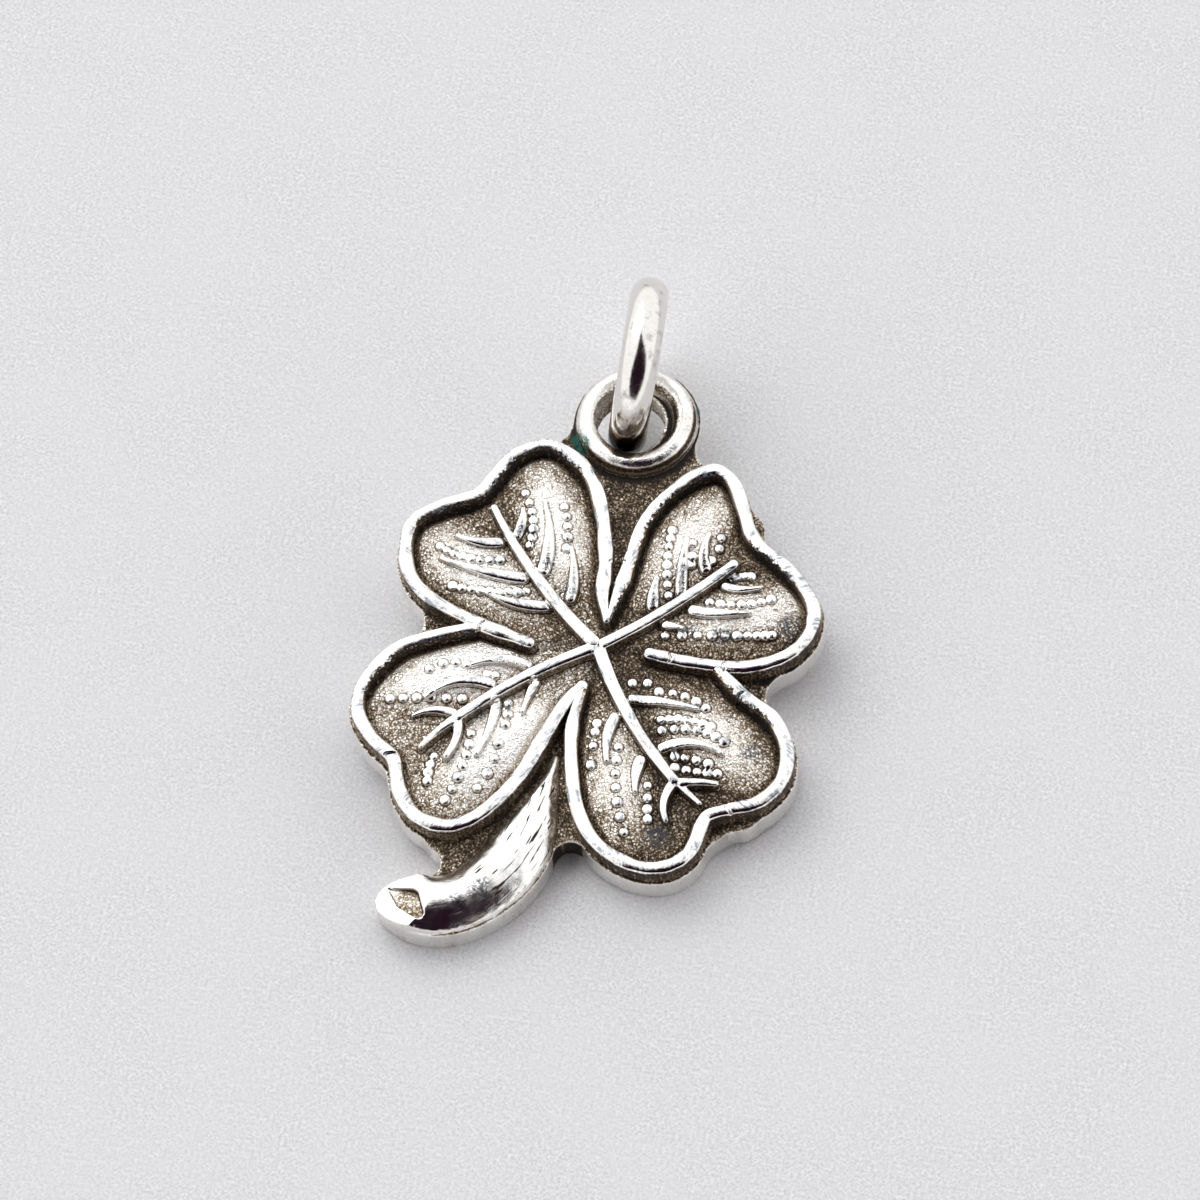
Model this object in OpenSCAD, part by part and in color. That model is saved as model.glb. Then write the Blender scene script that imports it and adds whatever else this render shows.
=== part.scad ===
// Four leaf clover pendant of cast silver with its jump ring.
// It rests face up on a table: the stem's end and the lower right leaf touch the table,
// and the jump ring stands through the eye and lifts that end of the pendant.
// The clover is drawn flat with its vein crossing at the origin and its eye towards +Y,
// and is then laid on the table, which is z = 0.

/* [Clover] */
// Distance from the vein crossing to the side of the clover
half_w = 6; // [5:0.1:8]
// Thickness of the flat back that all relief stands on
back_t = 0.8; // [0.6:0.05:1.2]
// Width of the narrow ledge of the back outside the rims
ledge_w = 0.08; // [0.04:0.01:0.2]
// Radius of the webs that fill the corners between leaves, stem and eye
web_r = 0.7; // [0.4:0.05:0.9]

/* [Leaf relief] */
// Width of the round rim along a leaf's edge
rim_w = 0.4; // [0.3:0.02:0.5]
// Height of the rim's crest over the back
rim_h = 0.6; // [0.45:0.05:0.8]
// Height of the sunk ground inside the rims over the back
ground_h = 0.26; // [0.15:0.02:0.35]
// Swell of each half leaf over its ground
swell_h = 0.22; // [0.1:0.02:0.3]
// Width of a midrib at the vein crossing
rib_w = 0.36; // [0.26:0.02:0.46]
// Height of the midribs over the back
rib_h = 0.62; // [0.5:0.02:0.8]
// Width of a side vein at its root
vein_w = 0.28; // [0.2:0.02:0.36]
// Rise of a side vein over the swell that it lies on
vein_rise = 0.12; // [0.06:0.02:0.2]
// Diameter of the round grains between the veins
grain_d = 0.27; // [0.2:0.01:0.34]

/* [Stem] */
// Greatest width of the stem, at its bend
stem_w = 1.8; // [1.2:0.1:2.4]
// Height of the stem's round top over the table side of the back
stem_h = 1.6; // [1.2:0.1:2]
// Height of the stem's end over the back, where the cut begins
cut_z = 0.16; // [0.08:0.02:0.3]
// Slope of the cut at the stem's end
stem_cut = 24; // [20:1:35]
// Slope of the floor of the hollow in the cut
hollow_cut = 12; // [6:1:16]
// Radius of the small webs that join the stem to the leaves
stem_web = 0.45; // [0.2:0.05:0.7]

/* [Eye] */
// Diameter of the eye's round crest
eye_d = 2.93; // [2.6:0.05:3.6]
// Width of the eye's round crest
eye_w = 0.5; // [0.4:0.02:0.6]
// Height of the eye's crest over the back
eye_h = 0.48; // [0.35:0.02:0.6]
// Diameter of the hole through the eye
hole_d = 1.96; // [1.9:0.02:2.1]
// How far the eye's centre stands beyond the side distance of the clover
eye_rise = 1.3; // [1.1:0.05:1.6]
// How far the eye sits left of the vein crossing
eye_left = 0.28; // [0:0.02:0.4]
// How far the hole sits left of the eye's centre
hole_left = 0.2; // [0:0.02:0.2]

/* [Jump ring] */
// Outer diameter of the jump ring
ring_d = 5.1; // [4.9:0.05:5.4]
// Thickness of the jump ring's wire
wire_d = 1.1; // [0.9:0.02:1.2]
// Lean of the standing ring towards +X
ring_lean = 9.5; // [6:0.5:12]
// Turn of the standing ring from the pendant's axis
ring_turn = 3; // [0:0.5:8]
// Running gap between the wire and the eye
ring_gap = 0.05; // [0.03:0.01:0.1]

/* [Hidden] */

// The four leaf rims. Columns: across and along, as shares of half_w from the vein crossing.
RIM_UL = [
    [0.02, 0.12], [-0.03, 0.27], [-0.05, 0.46], [-0.11, 0.69], [-0.19, 0.86], [-0.31, 0.965],
    [-0.44, 1.0], [-0.575, 0.92], [-0.65, 0.785], [-0.705, 0.695], [-0.845, 0.62],
    [-0.965, 0.525], [-0.985, 0.4], [-0.94, 0.25], [-0.82, 0.135], [-0.57, 0.035],
    [-0.43, 0], [-0.29, -0.035]
];
RIM_UR = [
    [0.02, 0.13], [0.06, 0.43], [0.085, 0.635], [0.15, 0.79], [0.255, 0.92], [0.36, 0.985],
    [0.425, 0.97], [0.48, 0.92], [0.545, 0.79], [0.59, 0.69], [0.66, 0.615], [0.8, 0.525],
    [0.93, 0.385], [0.957, 0.27], [0.93, 0.17], [0.85, 0.075], [0.69, 0], [0.51, -0.015],
    [0.35, -0.01], [0.21, 0.005]
];
RIM_LL = [
    [-0.56, 0.02], [-0.78, -0.065], [-0.93, -0.16], [-1.035, -0.335], [-1.04, -0.48],
    [-0.95, -0.61], [-0.835, -0.695], [-0.795, -0.79], [-0.765, -0.865], [-0.675, -0.97],
    [-0.545, -1.005], [-0.43, -0.965], [-0.33, -0.86], [-0.235, -0.7], [-0.17, -0.52],
    [-0.1, -0.31], [-0.02, -0.185]
];
RIM_LR = [
    [-0.03, -0.2], [-0.045, -0.42], [-0.01, -0.625], [0.06, -0.835], [0.175, -0.985],
    [0.345, -1.065], [0.5, -1.055], [0.6, -0.965], [0.63, -0.82], [0.655, -0.765],
    [0.74, -0.725], [0.87, -0.665], [0.955, -0.535], [0.945, -0.37], [0.85, -0.23],
    [0.705, -0.145], [0.57, -0.035]
];
RIMS = [RIM_UL, RIM_UR, RIM_LL, RIM_LR];
// Height of each rim as a share of rim_h, so that where two meet one runs over the other
RIM_HIGH = [1, 0.97, 0.985, 0.955];

// Where the back stands out past the rims, in the leaf notches and beside the stem.
// Columns: across, along and radius, as shares of half_w.
PADS = [[0.58, 0.75, 0.065], [0.655, -0.79, 0.08], [0.79, -0.71, 0.08], [-0.55, -1.035, 0.065]];

// The midribs and their forked ends.
// Columns: root, middle and tip as across and along shares of half_w, then the width at the
// root and at the tip as shares of rib_w, and the height as a share of rib_h.
RIBS = [
    [[0, 0], [-0.345, 0.305], [-0.62, 0.65], 1, 0.5, 1],
    [[0, 0], [0.3, 0.255], [0.56, 0.53], 0.85, 0.75, 0.98],
    [[0, 0], [-0.3, -0.2], [-0.59, -0.47], 0.9, 0.8, 0.96],
    [[0, 0], [0.21, -0.34], [0.485, -0.635], 1, 0.7, 0.99],
    [[-0.58, -0.46], [-0.655, -0.545], [-0.72, -0.64], 0.7, 0.35, 0.94],
    [[-0.575, -0.46], [-0.56, -0.565], [-0.595, -0.675], 0.7, 0.4, 0.91],
    [[0.48, -0.63], [0.59, -0.615], [0.675, -0.615], 0.7, 0.35, 0.96],
    [[0.47, -0.625], [0.44, -0.735], [0.475, -0.84], 0.7, 0.35, 0.93],
    [[0.475, -0.62], [0.545, -0.675], [0.615, -0.725], 0.5, 0.35, 0.9]
];

// The side veins, in the columns of the midribs, with widths as shares of vein_w.
VEINS = [
    [[-0.53, 0.485], [-0.65, 0.455], [-0.765, 0.475], 1, 0.5],
    [[-0.385, 0.305], [-0.585, 0.3], [-0.815, 0.345], 1.1, 0.5],
    [[-0.255, 0.185], [-0.425, 0.165], [-0.56, 0.2], 1.1, 0.5],
    [[-0.49, 0.5], [-0.47, 0.6], [-0.485, 0.665], 0.9, 0.5],
    [[-0.335, 0.325], [-0.325, 0.505], [-0.385, 0.71], 1.2, 0.5],
    [[-0.18, 0.21], [-0.18, 0.35], [-0.22, 0.495], 1, 0.5],
    [[0.43, 0.455], [0.395, 0.555], [0.41, 0.66], 1, 0.5],
    [[0.33, 0.32], [0.31, 0.47], [0.31, 0.62], 1, 0.6],
    [[0.215, 0.225], [0.2, 0.315], [0.205, 0.405], 1.1, 0.6],
    [[0.5, 0.41], [0.595, 0.395], [0.695, 0.42], 0.7, 0.5],
    [[0.37, 0.26], [0.515, 0.25], [0.665, 0.27], 1, 0.5],
    [[0.26, 0.175], [0.315, 0.165], [0.385, 0.155], 0.8, 0.5],
    [[-0.285, -0.145], [-0.43, -0.13], [-0.565, -0.19], 1, 0.5],
    [[-0.43, -0.265], [-0.6, -0.27], [-0.745, -0.38], 1, 0.5],
    [[-0.58, -0.43], [-0.69, -0.425], [-0.79, -0.475], 0.9, 0.4],
    [[-0.25, -0.195], [-0.27, -0.275], [-0.285, -0.395], 0.8, 0.5],
    [[-0.42, -0.32], [-0.415, -0.47], [-0.455, -0.64], 0.9, 0.5],
    [[0.175, -0.235], [0.345, -0.23], [0.52, -0.25], 0.9, 0.5],
    [[0.36, -0.475], [0.495, -0.42], [0.67, -0.46], 1, 0.5],
    [[0.15, -0.315], [0.125, -0.445], [0.15, -0.585], 1, 0.6],
    [[0.3, -0.51], [0.29, -0.61], [0.305, -0.715], 1, 0.5]
];

// The rows of grains. Columns: first, middle and last grain as across and along shares of
// half_w, then how many grains the row has.
ROWS = [
    [[-0.825, 0.41], [-0.69, 0.365], [-0.535, 0.38], 8],
    [[-0.73, 0.22], [-0.55, 0.21], [-0.385, 0.24], 9],
    [[-0.485, 0.745], [-0.42, 0.605], [-0.415, 0.48], 7],
    [[-0.29, 0.695], [-0.255, 0.595], [-0.24, 0.485], 5],
    [[0.23, 0.65], [0.235, 0.49], [0.27, 0.32], 8],
    [[0.335, 0.595], [0.345, 0.53], [0.345, 0.49], 3],
    [[0.46, 0.65], [0.46, 0.595], [0.435, 0.53], 3],
    [[0.55, 0.46], [0.59, 0.475], [0.63, 0.48], 4],
    [[0.465, 0.31], [0.615, 0.315], [0.745, 0.365], 7],
    [[0.29, 0.12], [0.595, 0.155], [0.78, 0.19], 10],
    [[-0.75, -0.225], [-0.665, -0.18], [-0.585, -0.18], 4],
    [[-0.48, -0.21], [-0.465, -0.21], [-0.445, -0.21], 2],
    [[-0.905, -0.395], [-0.75, -0.37], [-0.575, -0.345], 6],
    [[-0.36, -0.34], [-0.35, -0.4], [-0.35, -0.455], 3],
    [[-0.5, -0.52], [-0.505, -0.69], [-0.555, -0.865], 7],
    [[-0.65, -0.65], [-0.66, -0.715], [-0.655, -0.78], 4],
    [[-0.365, -0.555], [-0.375, -0.67], [-0.42, -0.785], 4],
    [[0.185, -0.145], [0.22, -0.14], [0.255, -0.135], 2],
    [[0.315, -0.175], [0.44, -0.185], [0.545, -0.23], 5],
    [[0.35, -0.315], [0.47, -0.305], [0.585, -0.325], 7],
    [[0.365, -0.36], [0.525, -0.345], [0.66, -0.385], 7],
    [[0.445, -0.485], [0.52, -0.49], [0.605, -0.505], 4],
    [[0.455, -0.52], [0.56, -0.53], [0.66, -0.53], 5],
    [[0.065, -0.38], [0.065, -0.46], [0.075, -0.595], 4],
    [[0.185, -0.49], [0.21, -0.695], [0.285, -0.905], 7],
    [[0.35, -0.655], [0.365, -0.745], [0.38, -0.82], 4]
];

// The swollen half leaves. Columns: centre as across and along shares of half_w, half length
// and half width as shares of half_w, and the direction of the length in degrees.
SWELLS = [
    [[-0.62, 0.315], 0.39, 0.18, 151],
    [[-0.315, 0.585], 0.39, 0.17, 113],
    [[0.31, 0.6], 0.39, 0.17, 66],
    [[0.64, 0.275], 0.36, 0.17, 20],
    [[-0.63, -0.22], 0.38, 0.16, 207],
    [[-0.385, -0.56], 0.4, 0.17, 236],
    [[0.2, -0.63], 0.4, 0.17, 289],
    [[0.61, -0.37], 0.39, 0.18, 327]
];

// The stem from between the lower leaves to its cut end. Columns: across and along as shares
// of half_w, width as a share of stem_w, height over the back as a share of its greatest one.
STEM = [
    [-0.11, -0.66, 0.3, 0.3], [-0.13, -0.78, 0.55, 0.5], [-0.15, -0.9, 0.8, 0.7],
    [-0.18, -1.02, 0.97, 0.9], [-0.225, -1.13, 1, 1], [-0.295, -1.235, 0.98, 1],
    [-0.39, -1.325, 0.94, 1], [-0.5, -1.37, 0.93, 1], [-0.6, -1.382, 0.82, 1],
    [-0.68, -1.38, 0.6, 0.95], [-0.735, -1.375, 0.38, 0.9], [-0.77, -1.37, 0.14, 0.8]
];

// The hollow in the stem's cut: its middle from the stem's tip, and its half length and half
// width, all as shares of stem_w
hollow_c = [0.48, -0.1];
hollow_r = [0.31, 0.27];

// How far the ring's middle sits right of the middle of the hole
ring_side = -0.02;

// Half width and height of the flat top of a round crest, as shares of the crest's own
crest_w = 0.5;
crest_k = 0.87;

// Steps of the curves between two chosen points, and sides of small round shapes
rim_steps = 2;
rib_steps = 4;
vein_steps = 3;
grain_fn = 6;
round_fn = 48;

ground = back_t + ground_h;
edge_w = rim_w / 2 + ledge_w;
eye_c = [-eye_left, half_w + eye_rise];
hole_c = [eye_c[0] - hole_left, eye_c[1]];
eye_out = eye_d + eye_w + 2 * ledge_w;

// A point of a smooth curve through four points, between the second and the third
function blend(a, b, c, d, t) =
    0.5 * (2 * b + (c - a) * t + (2 * a - 5 * b + 4 * c - d) * t * t
    + (3 * b - a - 3 * c + d) * t * t * t);
// A smooth open curve through all points of a list
function smooth(p, steps) = [
    for (i = [0 : len(p) - 2], s = [0 : steps - 1])
        blend(p[max(i - 1, 0)], p[i], p[i + 1], p[min(i + 2, len(p) - 1)], s / steps),
    p[len(p) - 1]
];
// A curve from a root through a middle to a tip
function arc3(a, b, c, t) = a * (1 - t) * (1 - 2 * t) + b * 4 * t * (1 - t) + c * t * (2 * t - 1);
function unit(v) = v / norm(v);
function side(v) = [-v[1], v[0]];
function heading(p, i) = unit(p[min(i + 1, len(p) - 1)] - p[max(i - 1, 0)]);

// Height of the swollen ground at a point, over the back
function swell_at(q) = ground_h + swell_h * max([for (s = SWELLS) dome(s, q - half_w * s[0])]);
function dome(s, v) =
    let (u = (v[0] * cos(s[3]) + v[1] * sin(s[3])) / (half_w * s[1]),
        w = (v[1] * cos(s[3]) - v[0] * sin(s[3])) / (half_w * s[2]))
    sqrt(max(0, 1 - u * u - w * w));

// A round topped section across a path: flat sides from z0 to the shoulder, then a round crest
function crest(q, d, w, shoulder, top, z0) = [
    for (high = shoulder + crest_k * (top - shoulder), k = [[-1, z0], [-1, shoulder],
        [-crest_w, high], [crest_w, high], [1, shoulder], [1, z0]])
        [q[0] + side(d)[0] * k[0] * w / 2, q[1] + side(d)[1] * k[0] * w / 2, k[1]]
];

// A solid ridge along a path, from its list of sections
module ridge(cuts) {
    n = len(cuts[0]);
    last = len(cuts) - 1;
    polyhedron(
        points = [for (c = cuts) each c],
        faces = concat(
            [[for (k = [n - 1 : -1 : 0]) k]],
            [[for (k = [0 : n - 1]) last * n + k]],
            [for (i = [0 : last - 1], k = [0 : n - 1])
                [i * n + (k + 1) % n, (i + 1) * n + (k + 1) % n, (i + 1) * n + k, i * n + k]]));
}

// The outline of one leaf, along the middle of its rim and closed at the vein crossing
module leaf_shape(rim) {
    polygon(concat(smooth(half_w * rim, rim_steps), [[0, 0]]));
}

// Points along the stem's left (-1) or right (1) edge
function stem_path() = smooth([for (s = STEM) half_w * [s[0], s[1]]], 2);
function stem_size() = smooth([for (s = STEM) [s[2] * stem_w, s[3]]], 2);
function stem_edge(k) =
    let (p = stem_path(), s = stem_size())
    [for (i = [0 : len(p) - 1]) p[i] + side(heading(p, i)) * k * s[i][0] / 2];

// The flat outline of the back, with its webs
module back_shape() {
    offset(r = -stem_web, $fn = 20) offset(delta = stem_web) {
        offset(r = -web_r, $fn = 20) offset(delta = web_r) {
            for (r = RIMS) offset(delta = edge_w) leaf_shape(r);
            for (p = PADS) translate(half_w * [p[0], p[1]]) circle(half_w * p[2], $fn = 12);
            translate(eye_c) circle(d = eye_out, $fn = round_fn);
        }
        offset(delta = ledge_w)
            polygon(concat(stem_edge(-1), [for (i = [len(STEM) * 2 - 2 : -1 : 0]) stem_edge(1)[i]]));
    }
}

module leaf_rims() {
    for (k = [0 : len(RIMS) - 1]) {
        p = smooth(half_w * RIMS[k], rim_steps);
        top = back_t + rim_h * RIM_HIGH[k];
        ridge([for (i = [0 : len(p) - 1])
            crest(p[i], heading(p, i), rim_w, top - rim_w / 2, top, back_t / 2)]);
    }
}

module midribs() {
    for (r = RIBS) {
        p = [for (i = [0 : rib_steps]) half_w * arc3(r[0], r[1], r[2], i / rib_steps)];
        top = back_t + rib_h * r[5];
        ridge([for (i = [0 : rib_steps])
            let (w = rib_w * (r[3] + (r[4] - r[3]) * i / rib_steps))
            crest(p[i], heading(p, i), w, top - w / 2, top, back_t / 2)]);
    }
}

module side_veins() {
    for (r = VEINS) {
        p = [for (i = [0 : vein_steps]) half_w * arc3(r[0], r[1], r[2], i / vein_steps)];
        ridge([for (i = [0 : vein_steps])
            let (w = vein_w * (r[3] + (r[4] - r[3]) * i / vein_steps),
                z = back_t + swell_at(p[i]))
            crest(p[i], heading(p, i), w, z, z + vein_rise, back_t / 2)]);
    }
}

module grains() {
    for (r = ROWS, i = [0 : r[3] - 1]) {
        q = half_w * arc3(r[0], r[1], r[2], i / (r[3] - 1));
        translate([q[0], q[1], back_t + swell_at(q) - grain_d / 2]) hull() {
            cylinder(d = grain_d, h = grain_d / 3, $fn = grain_fn);
            cylinder(d = grain_d / 2, h = grain_d, $fn = grain_fn);
        }
    }
}

module swollen_ground() {
    linear_extrude(ground) for (r = RIMS) offset(delta = ledge_w) leaf_shape(r);
    for (s = SWELLS)
        translate([half_w * s[0][0], half_w * s[0][1], ground]) rotate(s[3])
            scale([half_w * s[1], half_w * s[2], swell_h]) sphere(1, $fn = 12);
}

// The stem, cut on a slope at its end, with a hollow in the cut
module stem() {
    p = stem_path();
    s = stem_size();
    tip = p[len(p) - 1];
    difference() {
        ridge([for (i = [0 : len(p) - 1])
            crest(p[i], heading(p, i), s[i][0], back_t, back_t + (stem_h - back_t) * s[i][1], 0)]);
        translate([tip[0], tip[1], back_t + cut_z]) {
            rotate([0, -stem_cut, 0])
                translate([-stem_w, -stem_w, 0]) cube([2 * stem_w + half_w, 2 * stem_w, stem_h]);
            rotate([0, -hollow_cut, 0]) translate(stem_w * [hollow_c[0], hollow_c[1], 0])
                linear_extrude(stem_h) scale(stem_w * hollow_r) circle(1, $fn = 20);
        }
    }
}

// The eye: a round crest on the back
module eye() {
    translate([eye_c[0], eye_c[1], back_t])
        rotate_extrude($fn = 36)
            translate([eye_d / 2, 0]) scale([eye_w / 2, eye_h]) circle(1, $fn = 12);
}

// The whole casting, flat on its back
module clover_flat() {
    difference() {
        union() {
            linear_extrude(back_t) back_shape();
            swollen_ground();
            leaf_rims();
            midribs();
            side_veins();
            grains();
            stem();
            eye();
        }
        translate([hole_c[0], hole_c[1], -back_t])
            cylinder(d = hole_d, h = 4 * back_t, $fn = round_fn);
    }
}

// Where the clover rests: the lowest point of a list of outline points in a direction
function lowest(pts, n) = let (d = [for (q = pts) q * n], m = min(d)) pts[search(m, d)[0]];
function leaf_foot(n) = lowest(smooth(half_w * RIM_LR, rim_steps), n) - edge_w * n;
function stem_foot(n) = lowest(concat(stem_edge(-1), stem_edge(1)), n) - ledge_w * n;
function lean_dir(n, k) = k == 0 ? n : lean_dir(side(unit(leaf_foot(n) - stem_foot(n))), k - 1);
up_dir = lean_dir([0, 1], 4);
foot = stem_foot(up_dir);

// The ring stands on its wire, and the eye's far wall rests on the wire inside the ring.
ring_r = ring_d / 2 - wire_d / 2;
ring_z = ring_r * cos(ring_lean) + wire_d / 2;
near_reach = sqrt(pow(ring_d / 2, 2) - pow(ring_z - wire_d - back_t, 2));
ring_past = near_reach + ring_gap - hole_d / 2;
corner = ring_past - hole_d / 2;
lift = ring_z - sqrt(pow(ring_d / 2 - wire_d - ring_gap, 2) - corner * corner);
tilt = asin(lift / ((hole_c + [0, hole_d / 2] - foot) * up_dir));

// A point of the flat clover, laid on the table
function laid(q) =
    let (v = [q[0] - foot[0], q[1] - foot[1]], u = v * up_dir, s = v * -side(up_dir),
        run = u * cos(tilt) - q[2] * sin(tilt))
    [foot[0] + up_dir[0] * run - side(up_dir)[0] * s,
        foot[1] + up_dir[1] * run - side(up_dir)[1] * s, u * sin(tilt) + q[2] * cos(tilt)];
hole_top = laid([hole_c[0], hole_c[1], back_t]);
ring_y = hole_top[1] + ring_past * cos(ring_turn);
ring_x = hole_top[0] + ring_side - ring_past * sin(ring_turn)
    + (ring_z - hole_top[2]) * tan(ring_lean);

// The middle of the resting pendant goes to the origin, with the table at z = 0.
outline = [for (r = RIMS, q = smooth(half_w * r, rim_steps)) q];
left_x = min([for (q = outline) q[0]]) - edge_w;
right_x = max([for (q = outline) q[0]]) + edge_w;
mid = [(left_x + right_x) / 2, (foot[1] + ring_y + ring_d / 2) / 2];

// Lays what is drawn flat on the table
module lay() {
    translate([foot[0] - mid[0], foot[1] - mid[1], 0])
        rotate(-atan2(up_dir[0], up_dir[1])) rotate([tilt, 0, 0]) rotate(atan2(up_dir[0], up_dir[1]))
            translate([-foot[0], -foot[1], 0]) children();
}

module clover() {
    color("silver") lay() clover_flat();
}

module jump_ring() {
    color("gainsboro") translate([ring_x - mid[0], ring_y - mid[1], ring_z])
        rotate(ring_turn) rotate([0, ring_lean, 0]) rotate([0, 90, 0])
            rotate_extrude($fn = round_fn) translate([ring_r, 0]) circle(d = wire_d, $fn = 24);
}

clover();
jump_ring();
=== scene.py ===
import bpy
import math
import numpy as np
from mathutils import Matrix, Vector


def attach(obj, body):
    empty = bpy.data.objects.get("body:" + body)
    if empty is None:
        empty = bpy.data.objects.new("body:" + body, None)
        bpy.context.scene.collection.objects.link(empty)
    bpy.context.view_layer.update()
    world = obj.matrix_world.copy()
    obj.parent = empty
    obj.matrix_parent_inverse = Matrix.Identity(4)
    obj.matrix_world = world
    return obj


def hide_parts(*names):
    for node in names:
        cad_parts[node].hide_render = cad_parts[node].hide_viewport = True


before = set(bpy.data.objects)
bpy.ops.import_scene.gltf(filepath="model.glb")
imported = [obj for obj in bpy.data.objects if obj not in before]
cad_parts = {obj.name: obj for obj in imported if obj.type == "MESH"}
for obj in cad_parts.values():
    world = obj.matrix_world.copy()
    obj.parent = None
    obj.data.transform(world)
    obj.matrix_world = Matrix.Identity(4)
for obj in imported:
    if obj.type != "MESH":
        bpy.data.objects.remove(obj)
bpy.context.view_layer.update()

# The casting is modelled flat, with its vein crossing at the origin and its eye towards +Y, and
# is laid on the table at the end. Lengths are in millimetres, and places on the leaves and the
# stem are shares of HALF_W across and along.
MM = 0.001
HALF_W = 6.0
BACK_T = 0.8

# How the flat casting lies: the point of the stem that it tips about, the middle of the
# resting pendant, the direction that rises, and the slope
FOOT = Vector((-2.31585, -8.96999, 0))
MIDDLE = Vector((-0.265313, 1.15814, 0))
RISES = Vector((-0.402048, 0.915619, 0))
SLOPE = math.radians(4.72672)

# The jump ring
RING_AT = Vector((-0.176101, 7.57813, 2.52257))
RING_AXIS = Vector((0.98493, 0.05162, -0.16505))
RING_MIDLINE = 1.997
RING_WIRE = 0.548

# The rims of the four leaves
RIM_UPPER_LEFT = [
    (0.02, 0.12), (-0.03, 0.27), (-0.05, 0.46), (-0.11, 0.69), (-0.19, 0.86), (-0.31, 0.965),
    (-0.44, 1.0), (-0.575, 0.92), (-0.65, 0.785), (-0.705, 0.695), (-0.845, 0.62),
    (-0.965, 0.525), (-0.985, 0.4), (-0.94, 0.25), (-0.82, 0.135), (-0.57, 0.035),
    (-0.43, 0), (-0.29, -0.035),
]
RIM_UPPER_RIGHT = [
    (0.02, 0.13), (0.06, 0.43), (0.085, 0.635), (0.15, 0.79), (0.255, 0.92), (0.36, 0.985),
    (0.425, 0.97), (0.48, 0.92), (0.545, 0.79), (0.59, 0.69), (0.66, 0.615), (0.8, 0.525),
    (0.93, 0.385), (0.957, 0.27), (0.93, 0.17), (0.85, 0.075), (0.69, 0), (0.51, -0.015),
    (0.35, -0.01), (0.21, 0.005),
]
RIM_LOWER_LEFT = [
    (-0.56, 0.02), (-0.78, -0.065), (-0.93, -0.16), (-1.035, -0.335), (-1.04, -0.48),
    (-0.95, -0.61), (-0.835, -0.695), (-0.795, -0.79), (-0.765, -0.865), (-0.675, -0.97),
    (-0.545, -1.005), (-0.43, -0.965), (-0.33, -0.86), (-0.235, -0.7), (-0.17, -0.52),
    (-0.1, -0.31), (-0.02, -0.185),
]
RIM_LOWER_RIGHT = [
    (-0.03, -0.2), (-0.045, -0.42), (-0.01, -0.625), (0.06, -0.835), (0.175, -0.985),
    (0.345, -1.065), (0.5, -1.055), (0.6, -0.965), (0.63, -0.82), (0.655, -0.765),
    (0.74, -0.725), (0.87, -0.665), (0.955, -0.535), (0.945, -0.37), (0.85, -0.23),
    (0.705, -0.145), (0.57, -0.035), (0.54, -0.012),
]
# Each leaf: name, side and end of the clover, rim, height of the rim's top over the back, how
# narrow the rim is at its two ends as shares of its width, and how much blacker the ground is
# than the first leaf's
LEAVES = [
    ("upper_left_leaf", (-1, 1), RIM_UPPER_LEFT, 0.6, (0.45, 0.8), 0.0),
    ("upper_right_leaf", (1, 1), RIM_UPPER_RIGHT, 0.582, (0.45, 0.85), 0.14),
    ("lower_left_leaf", (-1, -1), RIM_LOWER_LEFT, 0.591, (0.9, 0.8), -0.2),
    ("lower_right_leaf", (1, -1), RIM_LOWER_RIGHT, 0.573, (0.7, 0.8), 0.2),
]
RIM_W = 0.4
# The length over which a rim narrows towards its end
RIM_TAPER = 1.4
# How far a leaf's relief and its back reach outside the middle of its rim
LEAF_EDGE = 0.1
BACK_EDGE = 0.28
# How steep a raised line's shoulder is and how square its section, for rims and for all others
RIM_SECTION = (0.7, 2.8)
FINE_SECTION = (0.6, 3.0)
# How finely a rim and the stem are drawn between two of their points
RIM_STEPS = 8
STEM_STEPS = 6

# The midribs and their forked ends: root, middle and tip, width at the root and at the tip,
# and height of the top over the back
RIBS = [
    ((0, 0), (-0.345, 0.305), (-0.62, 0.65), 0.36, 0.17, 0.62),
    ((0, 0), (0.3, 0.255), (0.56, 0.53), 0.31, 0.25, 0.61),
    ((0, 0), (-0.3, -0.2), (-0.59, -0.47), 0.33, 0.27, 0.6),
    ((0, 0), (0.21, -0.34), (0.485, -0.635), 0.36, 0.24, 0.615),
    ((-0.58, -0.46), (-0.655, -0.545), (-0.72, -0.64), 0.25, 0.12, 0.58),
    ((-0.575, -0.46), (-0.56, -0.565), (-0.595, -0.675), 0.25, 0.14, 0.565),
    ((0.48, -0.63), (0.59, -0.615), (0.675, -0.615), 0.25, 0.12, 0.595),
    ((0.47, -0.625), (0.44, -0.735), (0.475, -0.84), 0.25, 0.12, 0.575),
    ((0.475, -0.62), (0.545, -0.675), (0.615, -0.725), 0.18, 0.11, 0.56),
]

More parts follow.
